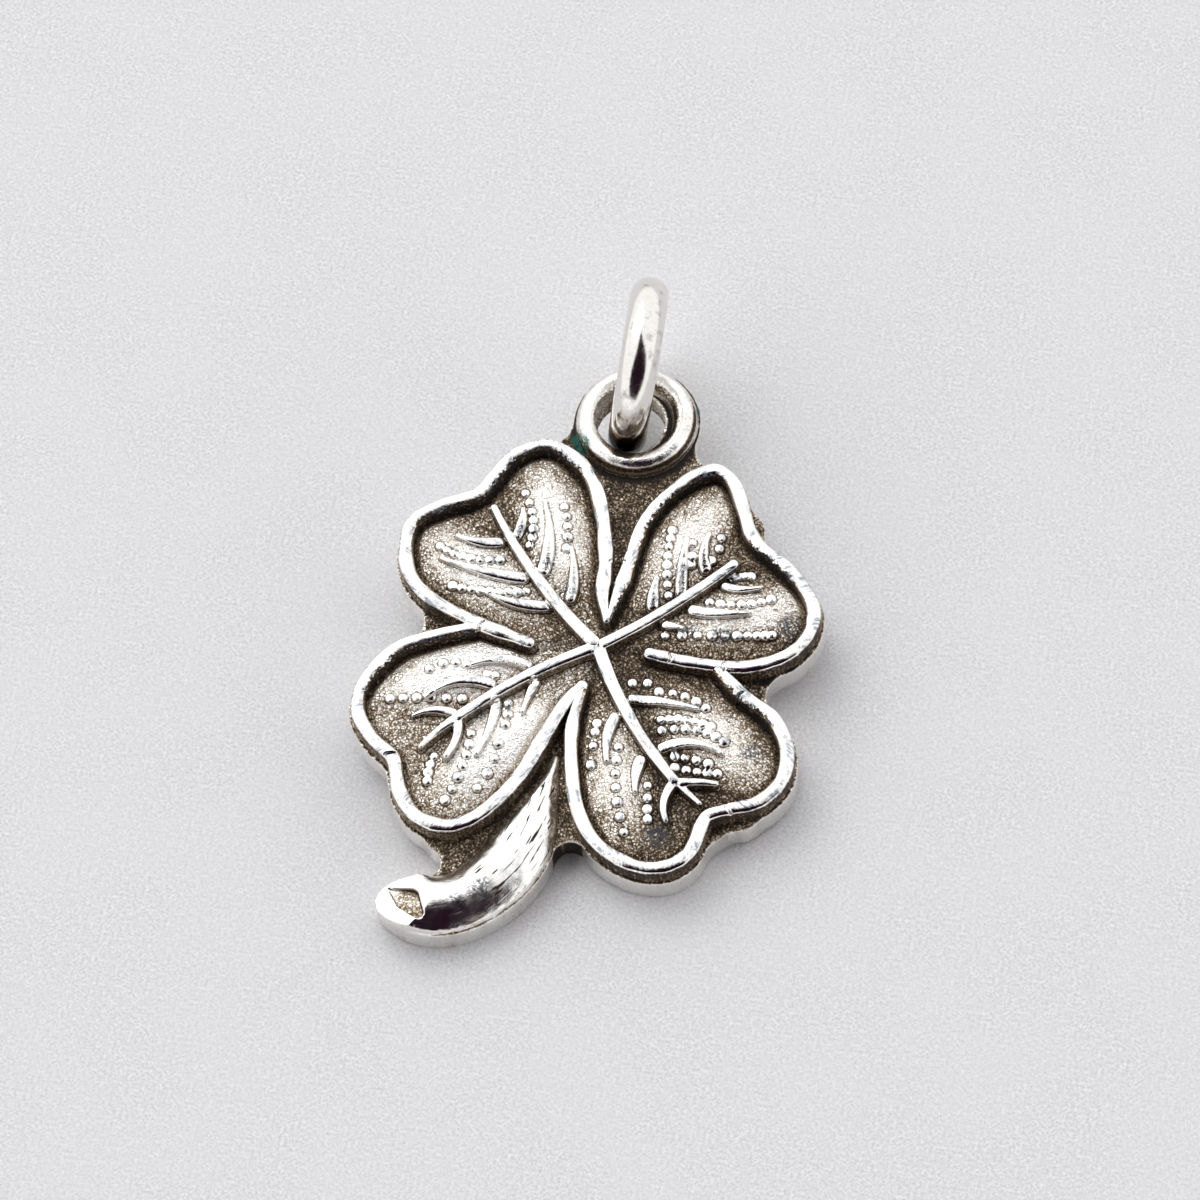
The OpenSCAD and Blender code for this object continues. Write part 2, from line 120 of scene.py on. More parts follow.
# The side veins: root, middle and tip, and width at the root and at the tip
VEINS = [
    ((-0.53, 0.485), (-0.65, 0.455), (-0.765, 0.475), 0.28, 0.1),
    ((-0.385, 0.305), (-0.585, 0.3), (-0.815, 0.345), 0.3, 0.1),
    ((-0.255, 0.185), (-0.425, 0.165), (-0.56, 0.2), 0.3, 0.1),
    ((-0.49, 0.5), (-0.47, 0.6), (-0.485, 0.665), 0.25, 0.1),
    ((-0.335, 0.325), (-0.325, 0.505), (-0.385, 0.71), 0.33, 0.1),
    ((-0.18, 0.21), (-0.18, 0.35), (-0.22, 0.495), 0.28, 0.1),
    ((0.43, 0.455), (0.395, 0.555), (0.41, 0.66), 0.28, 0.1),
    ((0.33, 0.32), (0.31, 0.47), (0.31, 0.62), 0.28, 0.12),
    ((0.215, 0.225), (0.2, 0.315), (0.205, 0.405), 0.3, 0.12),
    ((0.5, 0.41), (0.595, 0.395), (0.695, 0.42), 0.2, 0.1),
    ((0.37, 0.26), (0.515, 0.25), (0.665, 0.27), 0.28, 0.1),
    ((0.26, 0.175), (0.315, 0.165), (0.385, 0.155), 0.22, 0.1),
    ((-0.285, -0.145), (-0.43, -0.13), (-0.565, -0.19), 0.28, 0.1),
    ((-0.43, -0.265), (-0.6, -0.27), (-0.745, -0.38), 0.28, 0.1),
    ((-0.58, -0.43), (-0.69, -0.425), (-0.79, -0.475), 0.25, 0.08),
    ((-0.25, -0.195), (-0.27, -0.275), (-0.285, -0.395), 0.22, 0.1),
    ((-0.42, -0.32), (-0.415, -0.47), (-0.455, -0.64), 0.25, 0.1),
    ((0.175, -0.235), (0.345, -0.23), (0.52, -0.25), 0.25, 0.1),
    ((0.36, -0.475), (0.495, -0.42), (0.67, -0.46), 0.28, 0.1),
    ((0.15, -0.315), (0.125, -0.445), (0.15, -0.585), 0.28, 0.12),
    ((0.3, -0.51), (0.29, -0.61), (0.305, -0.715), 0.28, 0.1),
]
VEIN_RISE = 0.17
# How much wider the cast ribs and veins are at the foot than their worn tops
RIB_FULLNESS = 1.12
VEIN_FULLNESS = 1.3

# The rows of grains: first, middle and last grain, and how many the row has
GRAIN_ROWS = [
    ((-0.825, 0.41), (-0.69, 0.365), (-0.535, 0.38), 8),
    ((-0.73, 0.22), (-0.55, 0.21), (-0.385, 0.24), 9),
    ((-0.485, 0.745), (-0.42, 0.605), (-0.415, 0.48), 7),
    ((-0.29, 0.695), (-0.255, 0.595), (-0.24, 0.485), 5),
    ((0.23, 0.65), (0.235, 0.49), (0.27, 0.32), 8),
    ((0.335, 0.595), (0.345, 0.53), (0.345, 0.49), 3),
    ((0.46, 0.65), (0.46, 0.595), (0.435, 0.53), 3),
    ((0.55, 0.46), (0.59, 0.475), (0.63, 0.48), 4),
    ((0.465, 0.31), (0.615, 0.315), (0.745, 0.365), 7),
    ((0.29, 0.12), (0.595, 0.155), (0.78, 0.19), 10),
    ((-0.75, -0.225), (-0.665, -0.18), (-0.585, -0.18), 4),
    ((-0.48, -0.21), (-0.465, -0.21), (-0.445, -0.21), 2),
    ((-0.905, -0.395), (-0.75, -0.37), (-0.575, -0.345), 6),
    ((-0.36, -0.34), (-0.35, -0.4), (-0.35, -0.455), 3),
    ((-0.5, -0.52), (-0.505, -0.69), (-0.555, -0.865), 7),
    ((-0.65, -0.65), (-0.66, -0.715), (-0.655, -0.78), 4),
    ((-0.365, -0.555), (-0.375, -0.67), (-0.42, -0.785), 4),
    ((0.185, -0.145), (0.22, -0.14), (0.255, -0.135), 2),
    ((0.315, -0.175), (0.44, -0.185), (0.545, -0.23), 5),
    ((0.35, -0.315), (0.47, -0.305), (0.585, -0.325), 7),
    ((0.365, -0.367), (0.525, -0.353), (0.66, -0.392), 7),
    ((0.445, -0.485), (0.52, -0.49), (0.605, -0.505), 4),
    ((0.455, -0.54), (0.56, -0.548), (0.655, -0.548), 5),
    ((0.065, -0.38), (0.065, -0.46), (0.075, -0.595), 4),
    ((0.185, -0.49), (0.21, -0.695), (0.285, -0.905), 7),
    ((0.35, -0.655), (0.365, -0.745), (0.38, -0.82), 4),
]
GRAIN_R = 0.135
GRAIN_RISE = 0.095
GRAIN_SQUARENESS = 3.4
# How much of a grain is left after its top has worn flat
GRAIN_LEFT = 0.68

# The swollen half leaves: centre, half length and half width as shares of HALF_W, and direction
# of the length in degrees
SWELLS = [
    ((-0.62, 0.315), 0.39, 0.18, 151),
    ((-0.315, 0.585), 0.39, 0.17, 113),
    ((0.31, 0.6), 0.39, 0.17, 66),
    ((0.64, 0.275), 0.36, 0.17, 20),
    ((-0.63, -0.22), 0.38, 0.16, 207),
    ((-0.385, -0.56), 0.4, 0.17, 236),
    ((0.2, -0.63), 0.4, 0.17, 289),
    ((0.61, -0.37), 0.39, 0.18, 327),
]
# The ground of a leaf, and the foot of its relief, sunk a little into the back
GROUND = BACK_T + 0.26
FOOT_OF_RELIEF = BACK_T - 0.1
SWELL_H = 0.21
SWELL_REACH = 1.12
SWELL_ROUNDNESS = 1.3
# How deep the ground falls beside a rim
TRENCH = 0.1

# The stem: place, width, height over the back, and height of its edge as a share of that
STEM = [
    (-0.1, -0.55, 0.16, 0.01, 0.2), (-0.105, -0.61, 0.36, 0.1, 0.2),
    (-0.112, -0.67, 0.56, 0.19, 0.2), (-0.13, -0.78, 0.99, 0.32, 0.2),
    (-0.15, -0.9, 1.44, 0.42, 0.2), (-0.18, -1.02, 1.75, 0.48, 0.2),
    (-0.225, -1.13, 1.8, 0.5, 0.2), (-0.295, -1.235, 1.76, 0.5, 0.2),
    (-0.39, -1.325, 1.69, 0.5, 0.2), (-0.5, -1.37, 1.69, 0.5, 0.26),
    (-0.6, -1.382, 1.6, 0.5, 0.7), (-0.68, -1.38, 1.32, 0.5, 0.85),
    (-0.735, -1.375, 0.98, 0.5, 0.9), (-0.765, -1.37, 0.62, 0.49, 0.9),
    (-0.779, -1.368, 0.25, 0.48, 0.9),
]
STEM_FULLNESS = 2.2
# The section of the stem under its widest line: across and down
STEM_UNDER = [(-1, 0), (-0.93, -0.8), (-0.85, -1), (0.85, -1), (0.93, -0.8), (1, 0)]
# The sloping cut at the stem's end
CUT_RISE = 0.03
CUT_SLOPE = math.radians(17.5)
# The wedge shaped hollow in the cut: its corners in millimetres, how deep it starts, how its
# floor rises along the cut, and the top of the wedge that leaves it
HOLLOW = [(-4.45, -7.93), (-3.66, -7.95), (-3.52, -8.03), (-3.24, -8.66), (-3.3, -8.8),
          (-3.44, -8.83), (-4.02, -8.5)]
HOLLOW_SHALLOW = 0.03
HOLLOW_SLOPE = math.radians(2)
WEDGE_TOP = 3
# A corner under the web beside the stem, painted black as shadow, in millimetres, and its radius
SHADOW_CORNER = (0.21, -6.01)
SHADOW_CORNER_R = 0.5

# The eye, in millimetres
EYE_AT = Vector((-0.28, 7.3, BACK_T))
EYE_MIDLINE = 1.37
EYE_CREST = 0.345
EYE_RISE = 0.48
EYE_BLUNTNESS = 2.2
HOLE_AT = (-0.48, 7.3)
HOLE_R = 0.98
# Where the jump ring's contact shadow is painted black into the eye, and the middle of the painted
# black shade on the ring
RING_SHADOW_AT = (-0.42, 6.2)
RING_SHADE_AT = Vector((-0.45, 6.45, 0.85))

# Where the metal is green or bluish: place and radius
VERDIGRIS = [(-0.27, 1.05, 0.3), (-0.31, 1.085, 0.24), (0.235, 1.33, 0.14)]
BLUING = [
    (0.854, 0.247, 0.5), (0.552, 0.154, 0.4), (0.4, 0.162, 0.3), (0.794, -0.421, 0.45),
    (0.428, -0.891, 0.5), (-0.318, -1.286, 0.5), (-0.41, -1.361, 0.35), (-0.2, 0.27, 0.25),
    (-0.48, -0.41, 0.25),
]
# Where painted shade blackens the webs in the notches under the rims, in the same way
SHADED_NOTCHES = [
    (0.669, 0.004, 0.3), (0.792, -0.004, 0.34), (0.902, 0.034, 0.3), (-0.056, 0.323, 0.3),
]

# Fine nicks across the rims: place, and direction of the rim in degrees
NICKS = [
    (-0.834, -0.687, -79), (0.739, -0.733, 33), (0.338, -0.001, 2),
    (0.589, -0.020, 2), (0.684, -0.161, -39), (-0.558, 0.015, -23),
    (-0.579, -0.436, 14), (0.007, 0.447, -85), (1.059, -0.124, -95),
]
NICK_DEPTH = 0.07

# The unevenness of the cast, broad, middling and fine: waves per millimetre, the seed of their
# random heights, and their greatest height
LEAF_RIPPLES = [(1.7, 1, 0.014), (3.1, 4, 0.006), (7, 2, 0.01)]
BODY_RIPPLES = [(1.6, 1, 0.011), (5, 4, 0.006), (8, 2, 0.016)]

# How far under the relief the back is cut off, and how close two of its corners lie when they
# are one
UNDER_RELIEF = 0.004
SAME_PLACE = 1e-5

# Fineness of the skins, and how many triangles they may have
LEAF_VOXEL = 0.023
LEAF_TRIANGLES = 185000
BODY_VOXEL = 0.032
BODY_TRIANGLES = 170000
RIDGE_STEP = 0.05
ARCH_POINTS = 15
CUSHION_POINTS = 25
RIB_POINTS = 25
VEIN_POINTS = 19

# A map seen from above: its step, near left corner and size, and how far from a line it looks
MAP_STEP = 0.02
MAP_FROM = (-7.2, -10.2)
MAP_SIZE = (14.4, 20.4)
MAP_REACH = 0.8
# How closely a raised line's middle is marked on the map
LINE_STEP = 0.03
# How many rounds of smoothing show a fine and a broad hollow
FINE_ROUNDS = 10
BROAD_ROUNDS = 40


def lying():
    """The matrix that lays the flat casting on the table."""
    turn = math.atan2(RISES.x, RISES.y)
    return (Matrix.Translation(FOOT - MIDDLE) @ Matrix.Rotation(-turn, 4, "Z")
            @ Matrix.Rotation(SLOPE, 4, "X") @ Matrix.Rotation(turn, 4, "Z")
            @ Matrix.Translation(-FOOT))


def nothing_selected():
    bpy.ops.object.select_all(action="DESELECT")


def only(obj):
    nothing_selected()
    obj.select_set(True)
    bpy.context.view_layer.objects.active = obj


def edit_all(obj):
    only(obj)
    bpy.ops.object.mode_set(mode="EDIT")
    bpy.ops.mesh.select_all(action="SELECT")


def change(obj, kind, **settings):
    """Gives an object a modifier and applies it."""
    only(obj)
    modifier = obj.modifiers.new("change", kind)
    for name, value in settings.items():
        setattr(modifier, name, value)
    bpy.ops.object.modifier_apply(modifier="change")


def run_along(line):
    """How far along a line each of its points lies."""
    return np.concatenate([[0], np.cumsum(np.linalg.norm(np.diff(line, axis=0), axis=1))])


def directions(line):
    run = np.gradient(line, axis=0)
    return run / np.linalg.norm(run, axis=1)[:, None]


def turned(x, y, degrees):
    """How far places lie along and across a direction."""
    a = math.radians(degrees)
    return x * math.cos(a) + y * math.sin(a), y * math.cos(a) - x * math.sin(a)


def far_from(co, x, y):
    """How far points lie from a place, seen from above."""
    return np.hypot(co[:, 0] - x, co[:, 1] - y)


def smooth_line(points, steps):
    """A smooth curve through the points, with so many steps between two."""
    p = [np.array(q, float) for q in points]
    line = []
    for i in range(len(p) - 1):
        a, b, c, d = p[max(i - 1, 0)], p[i], p[i + 1], p[min(i + 2, len(p) - 1)]
        for s in range(steps):
            t = s / steps
            line.append(0.5 * (2 * b + (c - a) * t + (2 * a - 5 * b + 4 * c - d) * t * t
                               + (3 * b - a - 3 * c + d) * t ** 3))
    line.append(p[-1])
    return np.array(line)


def shares(count):
    """So many even shares from 0 to 1."""
    return [k / (count - 1) for k in range(count)]


def swell_at(x, y):
    """How far the ground swells at points, as a share of its greatest swell."""
    rise = np.zeros_like(np.asarray(x, float))
    for (cx, cy), half_long, half_wide, turn in SWELLS:
        u, w = turned(x - HALF_W * cx, y - HALF_W * cy, turn)
        u, w = u / (HALF_W * half_long * SWELL_REACH), w / (HALF_W * half_wide * SWELL_REACH)
        rise = np.maximum(rise, np.clip(1 - u * u - w * w, 0, 1) ** SWELL_ROUNDNESS)
    return rise


def new_object(name, data):
    obj = bpy.data.objects.new(name, data)
    bpy.context.collection.objects.link(obj)
    return obj


def loft(name, sections):
    """A closed shape through a row of sections, each with as many corners as the next."""
    n, last = len(sections[0]), len(sections) - 1
    faces = [(i * n + k, i * n + (k + 1) % n, (i + 1) * n + (k + 1) % n, (i + 1) * n + k)
             for i in range(last) for k in range(n)]
    faces += [list(range(n))[::-1], list(range(last * n, last * n + n))]
    mesh = bpy.data.meshes.new(name)
    mesh.from_pydata([tuple(corner) for section in sections for corner in section], [], faces)
    return new_object(name, mesh)


def evenly(points, widths, pitch, least, inset):
    """A raised line at an even pitch, with at least so many points: how far along each point lies,
    its place and the half width there. The ends stand back by a share of the width."""
    p, w = np.array(points, float), np.array(widths, float)
    run = run_along(p)
    s = np.linspace(inset * w[0], run[-1] - inset * w[-1], max(int(run[-1] / pitch), least))
    line = np.stack([np.interp(s, run, p[:, k]) for k in range(2)], axis=1)
    return s, line, np.interp(s, run, w) / 2


def ridge(points, widths, top, crown, squareness):
    """A raised line with a worn round top and rounded ends."""
    s, p, half = evenly(points, widths, RIDGE_STEP, 8, 0)
    ends = np.ones(len(s))
    for away in (s, s[-1] - s):
        ends = ends * np.sqrt(np.clip(1 - (1 - np.clip(away / half, 0, 1)) ** 2, 0.03, 1))
    power = 2 / squareness
    arch = [(math.cos(a), math.sin(a)) for a in np.linspace(0, math.pi, ARCH_POINTS)]
    arch = [(math.copysign(abs(c) ** power, c), abs(h) ** power) for c, h in arch]
    sections = []
    for (x, y), (dx, dy), h, e in zip(p, directions(p), half, ends):
        shoulder = top - crown * h
        rows = [(c, shoulder + crown * h * e * up) for c, up in arch]
        rows = [(1, FOOT_OF_RELIEF)] + rows + [(-1, FOOT_OF_RELIEF)]
        sections.append([(x - dy * c * h * e, y + dx * c * h * e, z) for c, z in rows])
    return loft("ridge", sections)


def back_plate():
    """The back of the solid with its webs and hole: a merged copy, taken back to the flat frame
    and cut off just under the relief."""
    obj = new_object("casting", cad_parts["clover"].data.copy())
    obj.data.materials.clear()
    obj.data.transform(lying().inverted() @ Matrix.Scale(1 / MM, 4))
    edit_all(obj)
    bpy.ops.mesh.remove_doubles(threshold=SAME_PLACE)
    bpy.ops.mesh.bisect(plane_co=(0, 0, BACK_T - UNDER_RELIEF), plane_no=(0, 0, 1),
                        use_fill=True, clear_outer=True)
    bpy.ops.object.mode_set(mode="OBJECT")
    return obj


def block(name, floor, high):
    """A block with a given floor, straight walls and a flat top."""
    return loft(name, [floor, [(x, y, high) for x, y, _ in floor]])


def rim_line(rim):
    """The middle of a rim."""
    return smooth_line([(x * HALF_W, y * HALF_W) for x, y in rim], RIM_STEPS)


def plate(rim, edge_w, low, high, with_crossing=False):
    """A plate of a leaf's outline, so far outside the middle of its rim, which may run on to a
    point just past the vein crossing."""
    line = rim_line(rim)
    run = directions(line)
    out = np.stack([-run[:, 1], run[:, 0]], axis=1)
    middle = line.mean(0)
    if ((line - middle) * out).sum() < 0:
        out = -out
    edge = line + out * edge_w
    if with_crossing:
        edge = np.vstack([edge, [-0.05 * middle]])
    return block("plate", [(x, y, low) for x, y in edge], high)


def rim_points(rim, ends):
    """The middle of a rim and its width there, which varies a little as a hand-cut rim's does."""
    line = rim_line(rim)
    widths = [RIM_W * (1 + 0.06 * math.sin(1.9 * x + 0.7 * y) + 0.05 * math.sin(4.1 * y - 2.3 * x)
                       + 0.035 * math.sin(11 * x + 8 * y))
              for x, y in line]
    run = run_along(line)
    first = ends[0] + (1 - ends[0]) * step(run, 0, RIM_TAPER)
    last = ends[1] + (1 - ends[1]) * step(run[-1] - run, 0, RIM_TAPER)
    return line, list(np.array(widths) * first * last)


def bow_points(root, middle, tip, count):
    """Points of a curve from a root through a middle to a tip."""
    a, b, c = (np.array(q, float) for q in (root, middle, tip))
    return [HALF_W * (a * (1 - t) * (1 - 2 * t) + b * 4 * t * (1 - t) + c * t * (2 * t - 1))
            for t in shares(count)]


def rib_points(root, middle, tip, w0, w1):
    """The middle of a rib and its width there."""
    widths = [RIB_FULLNESS * (w0 + (w1 - w0) * t) for t in shares(RIB_POINTS)]
    return bow_points(root, middle, tip, RIB_POINTS), widths


def vein_points(root, middle, tip, w0, w1):
    """The middle of a side vein and its width there, which is greatest a third of the way along."""
    widths = [VEIN_FULLNESS * (w0 + (w1 - w0) * t)
              * (0.86 + 0.26 * math.sin(math.pi * min(1, 1.3 * t))) for t in shares(VEIN_POINTS)]
    return bow_points(root, middle, tip, VEIN_POINTS), widths


def grain_size(x, y):
    """The radius of the grain at a place: no two are quite alike."""
    return GRAIN_R * (1 + 0.1 * math.sin(7.3 * x + 5.9 * y))


def grains(rows):
    """Rows of grains, each a copy of one low round knob with a square shoulder."""
    bpy.ops.mesh.primitive_ico_sphere_add(subdivisions=3, radius=1)
    seed = bpy.context.object
    co = coordinates(seed.data)
    share = np.hypot(co[:, 0], co[:, 1]) ** GRAIN_SQUARENESS
    co[:, 2] = np.sign(co[:, 2]) * np.clip(1 - share, 0, 1) ** (1 / GRAIN_SQUARENESS)
    move_to(seed.data, co)
    out = []
    for row in rows:
        for x, y in bow_points(*row):
            r = grain_size(x, y)
            knob = new_object("grain", seed.data.copy())
            at = Matrix.Translation((x, y, GROUND))
            knob.data.transform(at @ Matrix.Diagonal((r, r, GRAIN_RISE, 1)))
            out.append(knob)
    bpy.data.objects.remove(seed)
    return out


def stem_rows():
    """The stem's middle, width, height and edge height, closely spaced along it."""
    return smooth_line([(x * HALF_W, y * HALF_W, w, h, edge) for x, y, w, h, edge in STEM],
                       STEM_STEPS)


def stem():
    """The smooth stem, cushioned on top, cut on a slope at its end, with a hollow in the cut."""
    rows = stem_rows()
    sections = []
    for (x, y, w, h, edge), (dx, dy) in zip(rows, directions(rows[:, :2])):
        cushion = [(c, edge + (1 - edge) * (1 - abs(c) ** STEM_FULLNESS))
                   for c in np.linspace(1, -1, CUSHION_POINTS)]
        sections.append([(x - dy * c * w / 2, y + dx * c * w / 2,
                          BACK_T + up * h if up >= 0 else BACK_T * (1 + up))
                         for c, up in cushion + STEM_UNDER])
    obj = loft("stem", sections)
    tip = rows[-1]
    edit_all(obj)
    bpy.ops.mesh.normals_make_consistent(inside=False)
    bpy.ops.mesh.bisect(
        plane_co=(tip[0], tip[1], BACK_T + CUT_RISE),
        plane_no=(-math.sin(CUT_SLOPE), 0, math.cos(CUT_SLOPE)),
        use_fill=True, clear_outer=True)
    bpy.ops.object.mode_set(mode="OBJECT")
    cut_away(obj, hollow_wedge())
    return obj


def cut_plane(x):
    """Height of the sloping cut at the stem's end."""
    return BACK_T + CUT_RISE + (x - stem_rows()[-1][0]) * math.tan(CUT_SLOPE)


def hollow_wedge():
    """The wedge that leaves the hollow: shallow at its tip, deep towards the stem."""
    start = HOLLOW[0][0]
    floor = [(x, y, cut_plane(start) - HOLLOW_SHALLOW + (x - start) * math.tan(HOLLOW_SLOPE))
             for x, y in HOLLOW]
    wedge = block("wedge", floor, WEDGE_TOP)
    edit_all(wedge)
    bpy.ops.mesh.normals_make_consistent(inside=False)
    bpy.ops.object.mode_set(mode="OBJECT")
    return wedge


def cut_away(obj, tool):
    change(obj, "BOOLEAN", operation="DIFFERENCE", solver="EXACT", object=tool)
    bpy.data.objects.remove(tool)


def eye_crest():
    """The broad cushioned ring round the hole; the hole runs through its inner edge."""
    bpy.ops.mesh.primitive_torus_add(major_radius=EYE_MIDLINE, minor_radius=EYE_CREST,
                                     major_segments=120, minor_segments=40)
    obj = bpy.context.object
    co = coordinates(obj.data)
    share = np.clip(np.abs(far_from(co, 0, 0) - EYE_MIDLINE) / EYE_CREST, 0, 1)
    co[:, 2] = np.sign(co[:, 2]) * EYE_RISE * np.sqrt(1 - share ** EYE_BLUNTNESS)
    move_to(obj.data, co)
    obj.data.transform(Matrix.Translation(EYE_AT))
    bpy.ops.mesh.primitive_cylinder_add(vertices=120, radius=HOLE_R, depth=6,
                                        location=(HOLE_AT[0], HOLE_AT[1], 0))
    cut_away(obj, bpy.context.object)
    return obj


def fuse(parts, voxel, rounds):
    """One closed skin over all the parts, smoothed a little."""
    nothing_selected()
    for part in parts:
        part.select_set(True)
    body = parts[0]
    bpy.context.view_layer.objects.active = body
    bpy.ops.object.join()
    change(body, "REMESH", mode="VOXEL", voxel_size=voxel, use_smooth_shade=True)
    change(body, "SMOOTH", factor=0.5, iterations=rounds)
    return body


def thin_out(body, most):
    """Merges triangles where the skin is flat, down to so many."""
    body.data.calc_loop_triangles()
    change(body, "DECIMATE", ratio=min(1, most / len(body.data.loop_triangles)))


def vectors(points, field):
    out = np.zeros(len(points) * 3, np.float32)
    points.foreach_get(field, out)
    return out.reshape(-1, 3).astype(float)


def coordinates(mesh):
    return vectors(mesh.vertices, "co")


def normals(mesh):
    return vectors(mesh.vertex_normals, "vector")


def move_to(mesh, co):
    mesh.vertices.foreach_set("co", co.astype(np.float32).ravel())
    mesh.update()


def hollows(mesh):
    """How far each vertex lies under its surroundings, in fine and in broad hollows, by rounds of
    smoothing."""
    edges = np.zeros(len(mesh.edges) * 2, np.int32)
    mesh.edges.foreach_get("vertices", edges)
    a, b = edges.reshape(-1, 2).T
    co, no = coordinates(mesh), normals(mesh)
    n = len(co)
    count = np.maximum(np.bincount(a, minlength=n) + np.bincount(b, minlength=n), 1)
    now, out = co.copy(), []
    for k in range(1, BROAD_ROUNDS + 1):
        near = np.empty_like(now)
        for axis in range(3):
            total = np.bincount(a, now[b, axis], n) + np.bincount(b, now[a, axis], n)
            near[:, axis] = total / count
        now = 0.5 * now + 0.5 * near
        if k in (FINE_ROUNDS, BROAD_ROUNDS):
            out.append(((now - co) * no).sum(1))
    return out


def step(value, low, high):
    """0 up to low, 1 from high, and smooth between them."""
    t = np.clip((np.asarray(value, float) - low) / (high - low), 0, 1)
    return t * t * (3 - 2 * t)


def ripple(co, per_mm, seed, height):
    """Smooth noise at the points, up to a height to both sides."""
    rng = np.random.default_rng(seed)
    lattice = rng.uniform(-1, 1, (32, 32, 32))
    place = co * per_mm
    cell = np.floor(place).astype(int)
    part = place - cell
    part = part * part * (3 - 2 * part)
    out = np.zeros(len(co))
    for corner in np.ndindex(2, 2, 2):
        weight = np.prod(np.where(np.array(corner), part, 1 - part), axis=1)
        i, j, k = ((cell + np.array(corner)) % 32).T
        out += weight * lattice[i, j, k]
    return out * height


def distance_map(lines):
    """Seen from above on a fine grid: how far outside the nearest of some lines of a given half
    width each place lies, and the nearest point of its middle."""
    shape = [int(s / MAP_STEP) + 1 for s in MAP_SIZE]
    out = np.full(shape, MAP_REACH)
    near = np.zeros(shape + [2])
    reach = int(MAP_REACH / MAP_STEP)
    for points, halves in lines:
        for (x, y), half in zip(points, halves):
            i, j = int((x - MAP_FROM[0]) / MAP_STEP), int((y - MAP_FROM[1]) / MAP_STEP)
            i0, i1 = max(i - reach, 0), min(i + reach, shape[0])
            j0, j1 = max(j - reach, 0), min(j + reach, shape[1])
            dx = MAP_FROM[0] + MAP_STEP * np.arange(i0, i1) - x
            dy = MAP_FROM[1] + MAP_STEP * np.arange(j0, j1) - y
            far = np.hypot(dx[:, None], dy[None, :]) - half
            closer = far < out[i0:i1, j0:j1]
            out[i0:i1, j0:j1][closer] = far[closer]
            near[i0:i1, j0:j1][closer] = (x, y)
    return out, near


def middle_of(near, co):
    """The point of the nearest raised line's middle for each point."""
    i, j = ((co[:, :2] - MAP_FROM) / MAP_STEP).round().astype(int).T
    return near[np.clip(i, 0, near.shape[0] - 1), np.clip(j, 0, near.shape[1] - 1)]


def under_far_rim(rim_map, co):
    """1 where a point lies on the camera's side of the nearest rim, 0 elsewhere: where painted
    shade goes.
    """
    shift = 0.03
    toward = shift * np.array([math.sin(SIGHT_AZIMUTH), -math.cos(SIGHT_AZIMUTH), 0])
    rise = (read_map(rim_map, co + toward) - read_map(rim_map, co - toward)) / (2 * shift)
    return step(rise, 0.1, 0.7)


def nicks(co):
    """1 in the middle of a nick, 0 away from it."""
    out = np.zeros(len(co))
    for x, y, turn in NICKS:
        dx, dy = co[:, 0] - x * HALF_W, co[:, 1] - y * HALF_W
        off, beside = turned(dx, dy, turn)
        off = np.abs(off + 0.03 * np.sin(20 * dy))
        far_end = step(np.abs(beside), 0.18, 0.26)
        out = np.maximum(out, (1 - step(off, 0.008, 0.045)) * (1 - far_end))
    return out


def depth_inside(co, corners):
    """How far inside a convex outline each point lies, seen from above; under 0 outside."""
    out = np.full(len(co), 1e9)
    for (x0, y0), (x1, y1) in zip(corners, corners[1:] + corners[:1]):
        long = math.hypot(x1 - x0, y1 - y0)
        side = ((x1 - x0) * (co[:, 1] - y0) - (y1 - y0) * (co[:, 0] - x0)) / long
        out = np.minimum(out, -side)
    return out


def read_map(chart, co):
    """The map's value at each point."""
    place = np.clip((co[:, :2] - MAP_FROM) / MAP_STEP, 0, np.array(chart.shape) - 1.001)
    cell = place.astype(int)
    (a, b), (i, j) = (place - cell).T, cell.T
    return ((1 - a) * (1 - b) * chart[i, j] + a * (1 - b) * chart[i + 1, j]
            + (1 - a) * b * chart[i, j + 1] + a * b * chart[i + 1, j + 1])


def dense(points, widths):
    """Closely spaced points along a raised line and its half widths. They stop short of its ends
    by the half width, so that the rounded ends come out right."""
    _, line, half = evenly(points, widths, LINE_STEP, 4, 0.5)
    return line.tolist(), half.tolist()


def grain_way(co):
    """Distances along and across the nearest half leaf, for marks that follow it."""
    best, along, across = np.full(len(co), 1e9), np.zeros(len(co)), np.zeros(len(co))
    for k, ((cx, cy), half_long, half_wide, turn) in enumerate(SWELLS):
        u, w = turned(co[:, 0] - HALF_W * cx, co[:, 1] - HALF_W * cy, turn)
        far = (u / half_long) ** 2 + (w / half_wide) ** 2
        near = far < best
        best = np.where(near, far, best)
        along, across = np.where(near, u, along), np.where(near, w + 3 * k, across)
    return np.stack([along, across, np.zeros(len(co))], axis=1)


def stem_way(co):
    """Distances along and across the stem, and how far outside its edge each point lies."""
    rows = stem_rows()
    run = run_along(rows[:, :2])
    best = np.full(len(co), 1e9)
    out = np.zeros((len(co), 3))
    off = np.full(len(co), 9.0)
    for i in range(len(rows) - 1):
        a, d = rows[i, :2], rows[i + 1, :2] - rows[i, :2]
        t = np.clip(((co[:, :2] - a) @ d) / (d @ d), 0, 1)
        away = co[:, :2] - a - t[:, None] * d
        far = np.linalg.norm(away, axis=1)
        near = far < best
        best = np.where(near, far, best)
        side = np.sign(away[:, 0] * -d[1] + away[:, 1] * d[0])
        width = rows[i, 2] + t * (rows[i + 1, 2] - rows[i, 2])
        out[near, 0] = (run[i] + t * (run[i + 1] - run[i]))[near]
        out[near, 1] = (side * far)[near]
        off[near] = (far - width / 2)[near]
    return out, off


def tint(co, spots):
    """How strongly coloured spots show at each point. A spot is a middle and a radius."""
    out = np.zeros(len(co))
    for x, y, radius in spots:
        away = far_from(co, x * HALF_W, y * HALF_W)
        out = np.maximum(out, 1 - step(away, 0.35 * radius, radius))
    return out


